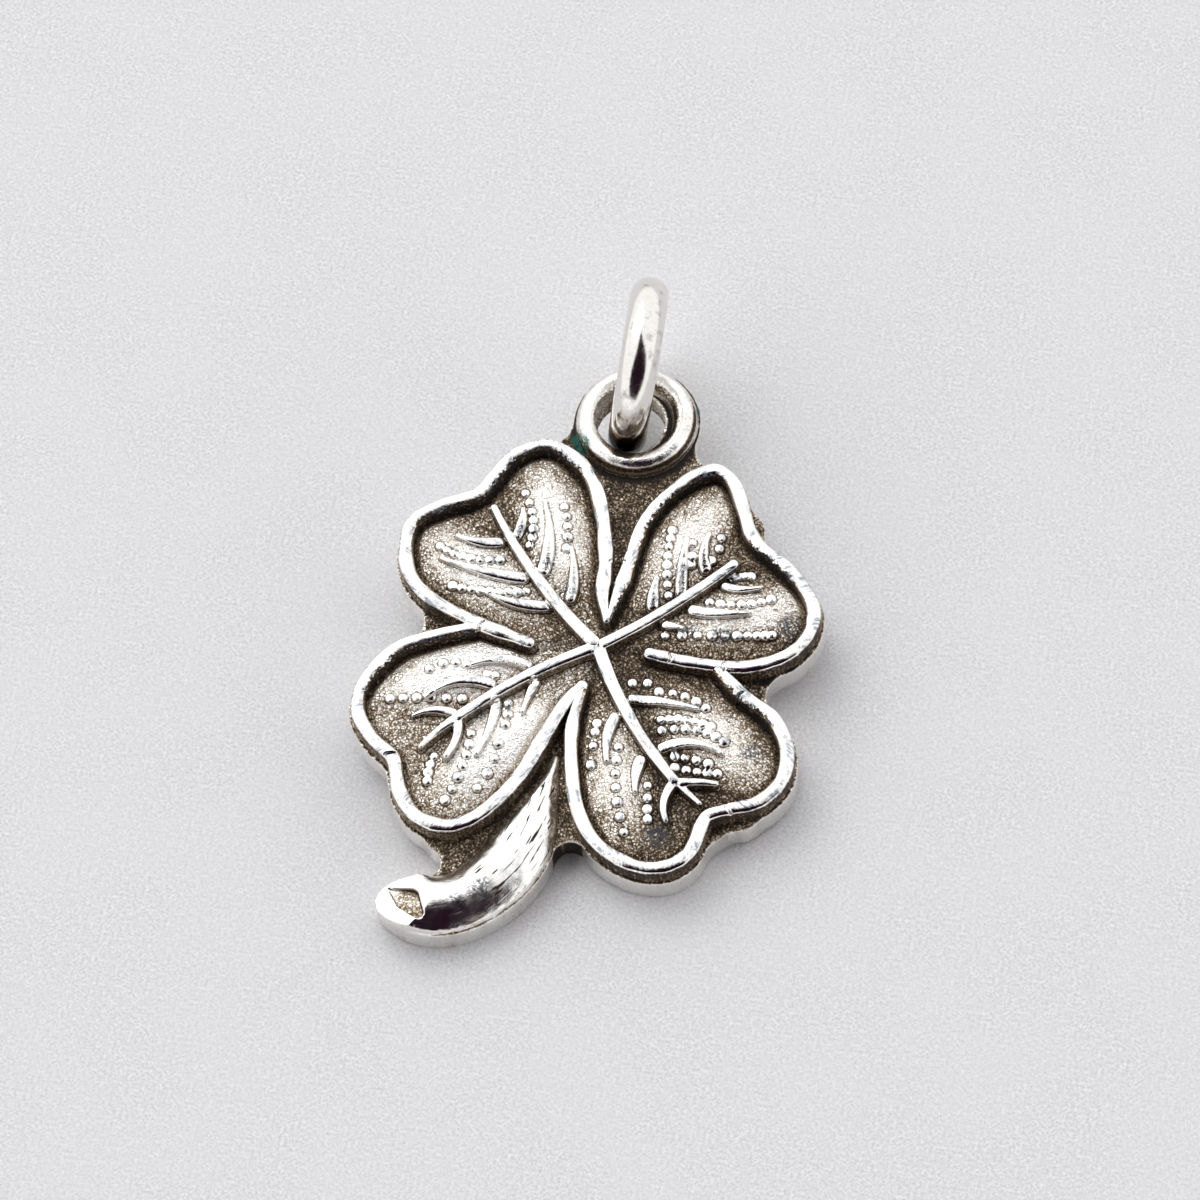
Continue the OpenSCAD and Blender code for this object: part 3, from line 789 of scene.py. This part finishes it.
def finish_notes(mesh, **values):
    """Stores a number or a vector for each vertex, for the finish to read. What is the same all
    over is given once."""
    co = coordinates(mesh)
    values.update(verdigris=tint(co, VERDIGRIS), bluing=tint(co, BLUING))
    for name, value in values.items():
        kind, field = ("FLOAT_VECTOR", "vector") if np.ndim(value) == 2 else ("FLOAT", "value")
        value = np.full(len(co), value) if np.ndim(value) == 0 else value
        layer = mesh.attributes.new(name, kind, "POINT")
        layer.data.foreach_set(field, np.asarray(value, np.float32).ravel())


def rim_lines():
    return [dense(*rim_points(rim, ends)) for _, _, rim, _, ends, _ in LEAVES]


def grain_spots():
    return [([q], [grain_size(*q)]) for row in GRAIN_ROWS for q in bow_points(*row)]


def fine_lines():
    """The ribs, the veins and the grains."""
    lines = [dense(*rib_points(*row)) for *row, _ in RIBS]
    lines += [dense(*vein_points(*row)) for row in VEINS]
    return lines + grain_spots()


def of_leaf(rows, side, end, at):
    """The rows that lie in one quarter of the clover, by their point number at."""
    return [row for row in rows if row[at][0] * side > 0 and row[at][1] * end > 0]


def leaf_skin(quarter, rim, rim_height, ends):
    """The rim, the ground, the ribs, the veins and the grains of one leaf under one skin."""
    parts = [plate(rim, LEAF_EDGE, FOOT_OF_RELIEF, GROUND, True)]
    parts += [ridge(*rim_points(rim, ends), BACK_T + rim_height, *RIM_SECTION)]
    parts += [ridge(*rib_points(*row), BACK_T + height, *FINE_SECTION)
              for *row, height in of_leaf(RIBS, *quarter, 2)]
    parts += [ridge(*vein_points(*row), GROUND + VEIN_RISE, *FINE_SECTION)
              for row in of_leaf(VEINS, *quarter, 1)]
    parts += grains(of_leaf(GRAIN_ROWS, *quarter, 1))
    return fuse(parts, LEAF_VOXEL, 2)


def wear_leaf(mesh, maps):
    """The unevenness of the cast, the nicks, the worn grains, the trench beside the rim and the
    swell of the ground, which lifts each rib, vein and grain as a whole."""
    co, no = coordinates(mesh), normals(mesh)
    rims_off, fine_off = read_map(maps["rims"], co), read_map(maps["fine"], co)
    on_grain = read_map(maps["grains"], co) < 0.04
    facing = no[:, 2]
    upward = step(facing, 0, 0.5)
    top = (fine_off < 0.01)[:, None]
    at = np.where(top, middle_of(maps["fine_middles"], co), co[:, :2])
    swell = swell_at(at[:, 0], at[:, 1]) * step(rims_off, -0.05, 0.25)
    bare = step(np.minimum(rims_off, fine_off), 0.0, 0.05) * step(facing, 0.3, 0.7)
    broad, middling, fine = (ripple(co, *waves) for waves in LEAF_RIPPLES)
    lift = broad * upward + middling * (1 - bare) * upward + fine * bare
    lift -= NICK_DEPTH * nicks(co) * (rims_off < 0.05) * step(facing, 0, 0.4)
    co += no * (lift * ~on_grain)[:, None]
    grain_top = on_grain & (co[:, 2] < GROUND + GRAIN_RISE + 0.02)
    worn = np.minimum(co[:, 2], GROUND + GRAIN_LEFT * GRAIN_RISE)
    co[:, 2] = np.where(grain_top, worn, co[:, 2])
    ground_only = (co[:, 2] < GROUND + 0.03) * (co[:, 2] > BACK_T)
    beside_rim = 1 - step(rims_off, 0.02, 0.22)
    co[:, 2] -= TRENCH * beside_rim * step(fine_off, 0, 0.1) * ground_only
    co[:, 2] += SWELL_H * swell * step(co[:, 2], BACK_T, BACK_T + 0.1)
    move_to(mesh, co)


def finish_leaf(mesh, rim_height, tarnish, maps):
    """Notes where a leaf is dark with tarnish and painted shade, rough or rubbed bright."""
    co, no = coordinates(mesh), normals(mesh)
    rims_off, fine_off = read_map(maps["rims"], co), read_map(maps["fine"], co)
    fine, broad = hollows(mesh)
    on_rim = 1 - step(rims_off, -0.02, 0.025)
    inside = step(-((co - co.mean(0)) * no)[:, :2].sum(1), 0, 0.3)
    steepest = np.where(on_rim * inside > 0.5, 0.55, 0.3)
    wall = 1 - step(no[:, 2], steepest, steepest + 0.17)
    on_wall = wall * on_rim
    # painted shade: a dark band along a rim's outer wall, just under its top; the rest of the wall
    # is tarnish
    below = BACK_T + rim_height - co[:, 2]
    shade_band = step(below, 0.1, 0.13) * (1 - step(below, 0.16, 0.2))
    wall_dirt = 0.25 * inside + (0.22 + 0.75 * shade_band) * (1 - inside)
    dirt = 0.6 + tarnish - swell_at(co[:, 0], co[:, 1]) + 4 * fine + 2 * broad
    dirt = dirt * (1 - on_wall) + on_wall * wall_dirt
    # painted shade beside the far rims, on the camera's side, and on their inner walls
    shade_side = under_far_rim(maps["rims"], co)
    finish_notes(mesh, dirt=dirt, pebble=1 - 0.3 * on_wall * inside, streak=grain_way(co),
                 bark=0.0, wall=wall, from_rim=rims_off, from_vein=fine_off,
                 under_rim=shade_side * (1 - on_wall * (1 - inside)),
                 inner_side=shade_side * inside)


def lay_down(body, name):
    """Lays a finished piece of the casting on the table, in metres, and names it."""
    body.data.transform(Matrix.Scale(MM, 4) @ lying())
    body.name = name
    return body


def model_leaf(name, quarter, rim, rim_height, ends, tarnish, maps):
    """One leaf in relief: its rim, its swollen ground, its ribs and veins and its grains."""
    body = leaf_skin(quarter, rim, rim_height, ends)
    wear_leaf(body.data, maps)
    thin_out(body, LEAF_TRIANGLES)
    finish_leaf(body.data, rim_height, tarnish, maps)
    return lay_down(body, name)


def wear_body(mesh):
    """The unevenness of the cast back, stem and eye."""
    co, no = coordinates(mesh), normals(mesh)
    top = step(no[:, 2], 0.0, 0.4)
    on_stem = 1 - step(stem_way(co)[1], -0.12, 0.02)
    web = (np.abs(co[:, 2] - BACK_T) < 0.06) * (1 - on_stem)
    broad, middling, fine = (ripple(co, *waves) for waves in BODY_RIPPLES)
    lift = broad * top + middling * top + fine * web * top
    move_to(mesh, co + no * lift[:, None])


def finish_body(mesh, rim_map):
    """Notes where the back, the stem and the eye are dark with tarnish and painted shade, rough or
    scored.
    """
    co, no = coordinates(mesh), normals(mesh)
    facing, over = no[:, 2], co[:, 2] - BACK_T
    fine, broad = hollows(mesh)
    way, stem_off = stem_way(co)
    from_eye = far_from(co, EYE_AT.x, EYE_AT.y)
    eye_off = np.abs(from_eye - EYE_MIDLINE) - EYE_CREST
    hole_off = np.abs(far_from(co, *HOLE_AT) - HOLE_R)
    on_stem = 1 - step(stem_off, -0.08, 0.03)
    on_eye = 1 - step(eye_off, -0.06, 0.0)
    sides = 1 - step(facing, 0.1, 0.4)
    web = step(facing, 0.4, 0.8) * (1 - on_stem) * (1 - on_eye) * step(over, -0.2, -0.05)

    # the webs are dark, darker beside the eye, and darkest with painted shade under a far rim and
    # in a few shaded notches
    under_rim = (1 - step(read_map(rim_map, co), 0.02, 0.14)) * under_far_rim(rim_map, co)
    dirt = 0.75 * web + 0.35 * under_rim * web
    dirt += (1 - step(eye_off, 0.03, 0.26)) * web
    # painted shade in the notches of the webs
    dirt += 1.3 * tint(co, SHADED_NOTCHES) * web
    # lighter off the webs, darker on sides that face down, and patina in the hollows
    dirt += -0.35 * (1 - web) + 0.3 * sides * step(facing, -0.6, -0.2) + 6 * fine + 3 * broad
    # painted black shadow in the corner under the web beside the stem
    dirt += 2.2 * (1 - step(far_from(co, *SHADOW_CORNER), 0.7 * SHADOW_CORNER_R, SHADOW_CORNER_R)) * sides

    # the eye is bright on its crest, dark on its inner slope and darkest with painted shade at the
    # foot of its crest on the camera's side
    inner_slope = 1 - step(from_eye, EYE_MIDLINE - 0.2, EYE_MIDLINE - 0.12)
    near_side = (0.5 * (co[:, 0] - EYE_AT.x) - 0.87 * (co[:, 1] - EYE_AT.y)) / from_eye
    shaded_near_foot = step(near_side, -0.3, 0.4) * step(eye_off, -0.15, -0.07)
    dirt = dirt * (1 - on_eye) + (-0.35 + 0.85 * inner_slope + 1.5 * shaded_near_foot) * on_eye

    # the stem is dark where it leaves the leaves, the wall of the hole is dull, its lip is bright,
    # and the eye is painted black as the jump ring's contact shadow
    dirt += 0.5 * on_stem * (1 - step(way[:, 0], 0.4, 1.6))
    hole_wall = (1 - step(hole_off, 0.04, 0.08)) * (1 - step(over, -0.15, 0)) * sides
    dirt = dirt * (1 - hole_wall) + 0.52 * hole_wall
    lip = (1 - step(hole_off, 0.05, 0.1)) * step(over, -0.2, -0.05)
    dirt = dirt * (1 - lip) - 0.4 * lip
    # painted black contact shadow where the jump ring sits in the eye
    rubbed = 1 - step(far_from(co, *RING_SHADOW_AT), 0.2, 0.5)
    rubbed = rubbed * (co[:, 2] > 0.1) * (from_eye < EYE_MIDLINE)
    dirt = np.maximum(dirt, 1.4 * rubbed)

    # the hollow in the cut is dull, with dark walls
    depth = cut_plane(co[:, 0]) - co[:, 2]
    in_hollow = step(depth, 0.05, 0.17) * step(depth_inside(co, HOLLOW), -0.06, 0.02) * (over > 0)
    dirt = np.maximum(dirt, 0.42 * in_hollow + 0.9 * in_hollow * (1 - step(facing, 0.6, 0.85)))

    eye_slope = np.maximum(on_eye * inner_slope, on_eye * step(eye_off, -0.12, -0.06))
    pebble = np.maximum(np.maximum(web, 0.4 * in_hollow), np.maximum(eye_slope, hole_wall))
    pebble = np.where(on_stem * (1 - in_hollow) > 0.5, 0.05, 0.2 + 0.8 * pebble)
    bark = on_stem * (1 - step(way[:, 0], 4.0, 5.8)) * step(over, 0.05, 0.15)
    finish_notes(mesh, dirt=dirt, pebble=pebble, bark=bark, wall=0.0, from_rim=9.0, from_vein=9.0,
                 streak=np.where((on_stem > 0.5)[:, None], way, co[:, [2, 0, 1]]),
                 under_rim=0.0, inner_side=0.0)


def model_body(rim_map):
    backs = [plate(rim, BACK_EDGE, 0.0, BACK_T) for _, _, rim, _, _, _ in LEAVES]
    body = fuse([back_plate()] + backs + [stem(), eye_crest()], BODY_VOXEL, 3)
    wear_body(body.data)
    thin_out(body, BODY_TRIANGLES)
    finish_body(body.data, rim_map)
    return lay_down(body, "back_stem_and_eye")


def model_jump_ring():
    """The round wire ring that stands through the eye."""
    bpy.ops.mesh.primitive_torus_add(major_radius=RING_MIDLINE, minor_radius=RING_WIRE,
                                     major_segments=180, minor_segments=64)
    ring = bpy.context.object
    turn = RING_AXIS.to_track_quat("Z", "Y").to_matrix().to_4x4()
    ring.data.transform(Matrix.Scale(MM, 4) @ Matrix.Translation(RING_AT) @ turn)
    bpy.ops.object.shade_smooth()
    ring.name = "silver_jump_ring"
    return ring


# Materials


class Nodes:
    """Short helpers that build the nodes of a material or of the surroundings."""

    def __init__(self, owner):
        owner.use_nodes = True
        self.tree = owner.node_tree
        self.tree.nodes.clear()

    def add(self, kind, inputs=(), **settings):
        """Adds a node, fills its inputs with values or other outputs, and gives its outputs."""
        node = self.tree.nodes.new("ShaderNode" + kind)
        for name, value in settings.items():
            setattr(node, name, value)
        for key, value in dict(inputs).items():
            if isinstance(value, bpy.types.NodeSocket):
                self.tree.links.new(value, node.inputs[key])
            else:
                node.inputs[key].default_value = value
        return node.outputs

    def math(self, operation, a, b=0.0, clamp=False):
        return self.add("Math", {0: a, 1: b}, operation=operation, use_clamp=clamp)[0]

    def plus(self, first, *others):
        for other in others:
            first = self.math("ADD", first, other)
        return first

    def minus(self, a, b):
        return self.math("SUBTRACT", a, b)

    def times(self, a, b):
        return self.math("MULTIPLY", a, b)

    def swing(self, noise, reach, middle=0.5):
        """Turns noise round a middle into a swing to both sides of 0."""
        return self.times(self.minus(noise, middle), reach)

    def between(self, value, low, high, to_low=0.0, to_high=1.0):
        """Turns low..high into to_low..to_high with a smooth step."""
        inputs = enumerate((value, low, high, to_low, to_high))
        return self.add("MapRange", inputs, interpolation_type="SMOOTHSTEP")[0]

    def blend(self, share, a, b):
        """Colour a where share is 0, colour b where it is 1."""
        return self.add("Mix", {0: share, 6: a, 7: b}, data_type="RGBA")[2]

    def noted(self, name, output="Fac"):
        """What was stored for each vertex under a name."""
        return self.add("Attribute", attribute_name=name)[output]

    def place(self):
        return self.add("TexCoord")["Object"]

    def noise(self, per_mm, detail=3.0, rough=0.5, vector=None, output="Fac"):
        return self.add("TexNoise", {"Vector": vector or self.place(), "Scale": per_mm / MM,
                                     "Detail": detail, "Roughness": rough})[output]

    def streaks(self, per_mm, way, thin, detail, rough):
        """Noise drawn out along a stored way, which is in millimetres."""
        drawn = self.add("Mapping", {"Vector": way, "Scale": (thin, 1, 1)})[0]
        return self.noise(per_mm * MM, detail, rough, drawn)

    def cells(self, per_mm, sway):
        """Distance to the edges of small uneven cells, 0 on an edge."""
        wander = self.noise(9, 2.0, output="Color")
        swayed = self.add("VectorMath", {0: wander, 1: [2 * sway * MM] * 3, 2: self.place()},
                          operation="MULTIPLY_ADD")[0]
        return self.add("TexVoronoi", {"Vector": swayed, "Scale": per_mm / MM},
                        feature="DISTANCE_TO_EDGE")["Distance"]

    def bump(self, height, strength, distance, below=None):
        inputs = {"Strength": strength, "Distance": distance, "Height": height}
        if below:
            inputs["Normal"] = below
        return self.add("Bump", inputs)[0]

    def surface(self, colour, rough, normal, metallic=1.0, specular=0.5):
        shader = self.add("BsdfPrincipled", {
            "Base Color": colour, "Roughness": rough, "Metallic": metallic, "Normal": normal,
            "Specular IOR Level": specular})
        self.add("OutputMaterial", {0: shader[0]})


BRIGHT_SILVER = (0.94, 0.925, 0.9, 1)
PALE_SILVER = (0.87, 0.86, 0.84, 1)
WARM_SILVER = (0.79, 0.755, 0.69, 1)
# the tan, brown and black serve both the tarnish and the painted shade
TAN_TARNISH = (0.57, 0.475, 0.36, 1)
BROWN_TARNISH_AND_SHADE = (0.15, 0.092, 0.042, 1)
STEEL_BLUE = (0.2, 0.25, 0.32, 1)
BLUE_BLACK = (0.05, 0.065, 0.09, 1)
VERDIGRIS_GREEN = (0.004, 0.15, 0.115, 1)
BLACK_TARNISH_AND_SHADE = (0.012, 0.008, 0.006, 1)
PAPER_DARK = (0.63, 0.625, 0.64, 1)
PAPER_LIGHT = (0.98, 0.975, 0.99, 1)
PAPER_FELT = (0.76, 0.75, 0.765, 1)
PAPER_BLOTCH = (0.83, 0.82, 0.83, 1)


def oxidised_silver():
    """Cast silver, dark and matt in its hollows and rubbed bright on all that stands up, with
    painted shade beside the far rims.
    """
    material = bpy.data.materials.new("oxidised_silver")
    n = Nodes(material)
    pebble, under_rim = n.noted("pebble"), n.noted("under_rim")
    from_rim = n.noted("from_rim")
    raised = n.math("MINIMUM", from_rim, n.noted("from_vein"))
    streak = n.noted("streak", "Vector")
    speck = n.noise(13, 4, 0.7)
    cloud = n.noise(1.6, 4, 0.65)
    marks = n.streaks(12, streak, 0.12, 4, 0.65)
    fray = n.swing(n.noise(8, 4, 0.75), 1.3)
    cells = n.cells(10.5, 0.09)

    # Tops are bright, but for steep walls and for painted black shade at the foot of a far rim's
    # inner wall.
    top = n.between(n.plus(n.noted("wall"), fray), 0.3, 0.7, 1, 0)
    shaded_foot = n.between(n.plus(from_rim, n.times(fray, 0.42)), -0.085, -0.065)
    top = n.times(top, n.minus(1, n.times(n.noted("inner_side"), shaded_foot)))
    on_top = n.times(n.between(raised, -0.01, 0.02, 1, 0), top)
    ground = n.times(pebble, n.minus(1, on_top))

    # The level says how tarnished the metal is, with the painted shade added in: bright at 0, then
    # tan and brown, black at 1.
    outline = n.times(n.between(raised, 0.015, 0.05, 1, 0), top)
    # painted shade on the ground beside a far rim, on the camera's side
    ragged = n.plus(from_rim, n.times(fray, 0.4))
    shade = n.times(under_rim, n.between(ragged, 0.0, 0.09, 1, 0))
    shade = n.times(shade, n.minus(1, on_top))
    scored = n.between(n.streaks(13, streak, 0.1, 2, 0.5), 0.6, 0.63)
    scored = n.times(n.noted("bark"), scored)
    level = n.plus(
        n.noted("dirt"), n.times(outline, 0.8), n.times(shade, 0.9),
        n.swing(n.between(cells, 0.0, 0.28, 1, 0), n.times(ground, 0.7), 0.4),
        n.swing(speck, n.plus(n.times(ground, 1.5), 0.25)),
        n.swing(marks, n.plus(n.times(ground, 0.95), 0.25)),
        n.swing(cloud, 0.8), n.times(on_top, -1.9), n.times(scored, 1.15))
    colour = n.blend(n.between(level, 0.05, 0.4), BRIGHT_SILVER, TAN_TARNISH)
    colour = n.blend(n.between(level, 0.36, 0.72), colour, BROWN_TARNISH_AND_SHADE)
    colour = n.blend(n.between(level, 0.8, 1.15), colour, BLACK_TARNISH_AND_SHADE)

    # Green beside the eye, steel blue on rubbed tops, a painted steel blue reflection on the rim
    # flanks on the camera's side, blue black in spots
    green = n.times(n.noted("verdigris"), n.between(speck, 0.4, 0.52))
    colour = n.blend(green, colour, VERDIGRIS_GREEN)
    rubbed = n.times(n.between(cloud, 0.5, 0.6), n.between(marks, 0.4, 0.6))
    colour = n.blend(n.times(rubbed, n.times(on_top, 0.8)), colour, STEEL_BLUE)
    flank_reflection = n.times(n.between(from_rim, -0.17, -0.12), n.between(from_rim, -0.06, -0.02, 1, 0))
    flank_reflection = n.times(flank_reflection, n.times(under_rim, 0.7))
    flank_reflection = n.times(flank_reflection, n.between(n.noise(2.6, 3, 0.6), 0.54, 0.62))
    colour = n.blend(flank_reflection, colour, STEEL_BLUE)
    blue = n.times(n.times(n.noted("bluing"), 0.85), n.between(speck, 0.44, 0.53))
    colour = n.blend(blue, colour, BLUE_BLACK)

    rough = n.plus(n.between(level, -0.2, 0.7, 0.11, 0.5), n.times(ground, 0.12))
    normal = n.bump(marks, 0.22, 0.03 * MM)
    pitting = n.plus(n.times(ground, 0.35), 0.04)
    normal = n.bump(n.noise(9, 5, 0.65), pitting, 0.05 * MM, normal)
    normal = n.bump(n.between(cells, 0, 0.35), n.times(ground, 0.45), 0.03 * MM, normal)
    normal = n.bump(scored, -0.15, 0.03 * MM, normal)
    n.surface(colour, rough, normal, n.between(level, 0.2, 0.7, 1, 0.3))
    return material


def polished_silver():
    """Drawn silver wire, polished, with fine rubbing marks and painted black shade where it sits in
    the eye.
    """
    material = bpy.data.materials.new("polished_silver")
    n = Nodes(material)
    haze = n.noise(2.2, 3, 0.55)
    scuff = n.noise(14, 3, 0.6)
    colour = n.blend(n.between(haze, 0.35, 0.75), PALE_SILVER, WARM_SILVER)
    # painted shade: brown to black round the place where the ring sits in the eye
    away = n.add("VectorMath", {0: n.place(), 1: lying() @ RING_SHADE_AT * MM}, operation="DISTANCE")
    ring_shade = n.between(away["Value"], 0.3 * MM, 1.15 * MM, 1, 0)
    ring_shade = n.math("SUBTRACT", ring_shade, n.swing(haze, 1.2), clamp=True)
    colour = n.blend(n.between(ring_shade, 0.0, 0.45), colour, BROWN_TARNISH_AND_SHADE)
    colour = n.blend(n.between(ring_shade, 0.4, 0.8), colour, BLACK_TARNISH_AND_SHADE)
    rough = n.between(scuff, 0.3, 0.8, 0.1, 0.24)
    n.surface(colour, rough, n.bump(scuff, 0.06, 0.02 * MM))
    return material


def pale_paper():
    """The soft grey paper that the pendant lies on."""
    material = bpy.data.materials.new("pale_paper")
    n = Nodes(material)
    grain = n.noise(11, 4, 0.75)
    felt = n.between(n.noise(2.4, 5, 0.65), 0.35, 0.7, 0, 0.45)
    blotch = n.between(n.noise(0.3, 3, 0.5), 0.4, 0.6, 0, 0.3)
    colour = n.blend(n.between(grain, 0.3, 0.7), PAPER_DARK, PAPER_LIGHT)
    colour = n.blend(felt, colour, PAPER_FELT)
    colour = n.blend(blotch, colour, PAPER_BLOTCH)
    n.surface(colour, 0.9, n.bump(grain, 0.3, 0.05 * MM), 0.0, 0.2)
    return material


# Light and camera

# The dark gap in the tent: height of its middle, and its half width and half height as sines
GAP_HEIGHT = math.radians(58)
GAP_HALF_WIDTH = 0.64
GAP_HALF_HEIGHT = 0.75
TENT_WHITE = (1.12, 1.12, 1.127, 1)
GAP_BLACK = (0.014, 0.004, 0.01, 1)
# The window: its place, size and strength
WINDOW_AT = Vector((-260, 240, 420))
WINDOW_SIZE = 400
WINDOW_WATTS = 0.8
# The camera stands at the photograph's angle to the lying pendant.
SIGHT_AZIMUTH = math.radians(18.5)
SIGHT_HEIGHT = math.radians(57.9)
SIGHT_ROLL = math.radians(9)
SIGHT_DISTANCE = 220.0
PICTURE = 1200.0
LENS_PIXELS = 7964.0
# Where the middle of the picture falls, seen from the top of the vein crossing, in pixels
CROSSING_LEFT = 2.0
CROSSING_BELOW = 45.0
CROSSING_TOP = lying() @ Vector((0, 0, 1.4))
# The width of the camera's film
FILM = 36


def direction(azimuth, height):
    """The direction to a place so far round from the front, and so high."""
    away = math.cos(height)
    return Vector((math.sin(azimuth) * away, -math.cos(azimuth) * away, math.sin(height)))


def rightward(azimuth):
    """The level direction to the right, as seen from there."""
    return Vector((math.cos(azimuth), math.sin(azimuth), 0))


def stand_camera():
    back = direction(SIGHT_AZIMUTH, SIGHT_HEIGHT)
    level = rightward(SIGHT_AZIMUTH)
    steep = back.cross(level)
    right = level * math.cos(SIGHT_ROLL) - steep * math.sin(SIGHT_ROLL)
    up = level * math.sin(SIGHT_ROLL) + steep * math.cos(SIGHT_ROLL)
    ray = right * (-CROSSING_LEFT / LENS_PIXELS) - up * (CROSSING_BELOW / LENS_PIXELS) - back
    eye = (CROSSING_TOP - ray * SIGHT_DISTANCE) * MM
    data = bpy.data.cameras.new("camera")
    data.sensor_width = FILM
    data.sensor_fit = "HORIZONTAL"
    data.lens = FILM * LENS_PIXELS / PICTURE
    data.clip_start = 0.01
    data.clip_end = 10
    camera = new_object("camera", data)
    turn = Matrix((right, up, back)).transposed().to_4x4()
    camera.matrix_world = Matrix.Translation(eye) @ turn
    bpy.context.scene.camera = camera


def lay_floor(material):
    nothing_selected()
    bpy.ops.mesh.primitive_plane_add(size=1.2)
    floor = bpy.context.object
    floor.name = "floor"
    floor.data.materials.append(material)


def window():
    """A soft square light that looks at the pendant."""
    data = bpy.data.lights.new("window", "AREA")
    data.size = WINDOW_SIZE * MM
    data.energy = WINDOW_WATTS
    light = new_object("window", data)
    light.location = WINDOW_AT * MM
    light.rotation_euler = WINDOW_AT.to_track_quat("Z", "Y").to_euler()


def tent():
    """A white tent all round, with a dark pointed gap on the camera's side."""
    world = bpy.data.worlds.new("tent")
    bpy.context.scene.world = world
    n = Nodes(world)
    where = n.add("TexCoord")["Generated"]
    forward = direction(SIGHT_AZIMUTH, GAP_HEIGHT)
    sideways = rightward(SIGHT_AZIMUTH)

    def along(axis):
        return n.add("VectorMath", {0: where, 1: axis}, operation="DOT_PRODUCT")["Value"]

    # the gap is round below its middle and runs to a blunt point above it
    rise = n.math("DIVIDE", along(forward.cross(sideways)), GAP_HALF_HEIGHT)
    spread = n.math("DIVIDE", n.math("ABSOLUTE", along(sideways)), GAP_HALF_WIDTH)
    above = n.math("GREATER_THAN", rise, 0.0)
    bluntness = n.minus(3.0, n.times(above, 1.7))
    spread = n.math("DIVIDE", spread, n.minus(1.0, n.times(rise, 0.25)))
    edge = n.plus(spread, n.math("POWER", n.math("ABSOLUTE", rise), bluntness))
    behind = n.times(n.math("LESS_THAN", along(forward), 0.0), 9.0)
    gap = n.between(n.plus(edge, behind), 1.06, 0.9)
    fill = n.add("Background", {0: n.blend(gap, TENT_WHITE, GAP_BLACK)})
    n.add("OutputWorld", {0: fill[0]})


maps = {"rims": distance_map(rim_lines())[0], "grains": distance_map(grain_spots())[0]}
maps["fine"], maps["fine_middles"] = distance_map(fine_lines())
cast = [model_leaf(*leaf, maps) for leaf in LEAVES]
cast.append(model_body(maps["rims"]))
silver = oxidised_silver()
for piece in cast:
    piece.data.materials.clear()
    piece.data.materials.append(silver)
    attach(piece, "root")
    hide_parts("clover")

ring = model_jump_ring()
ring.data.materials.append(polished_silver())
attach(ring, "root")
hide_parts("jump_ring")

lay_floor(pale_paper())
stand_camera()
tent()
window()
bpy.context.scene.view_settings.view_transform = "Standard"
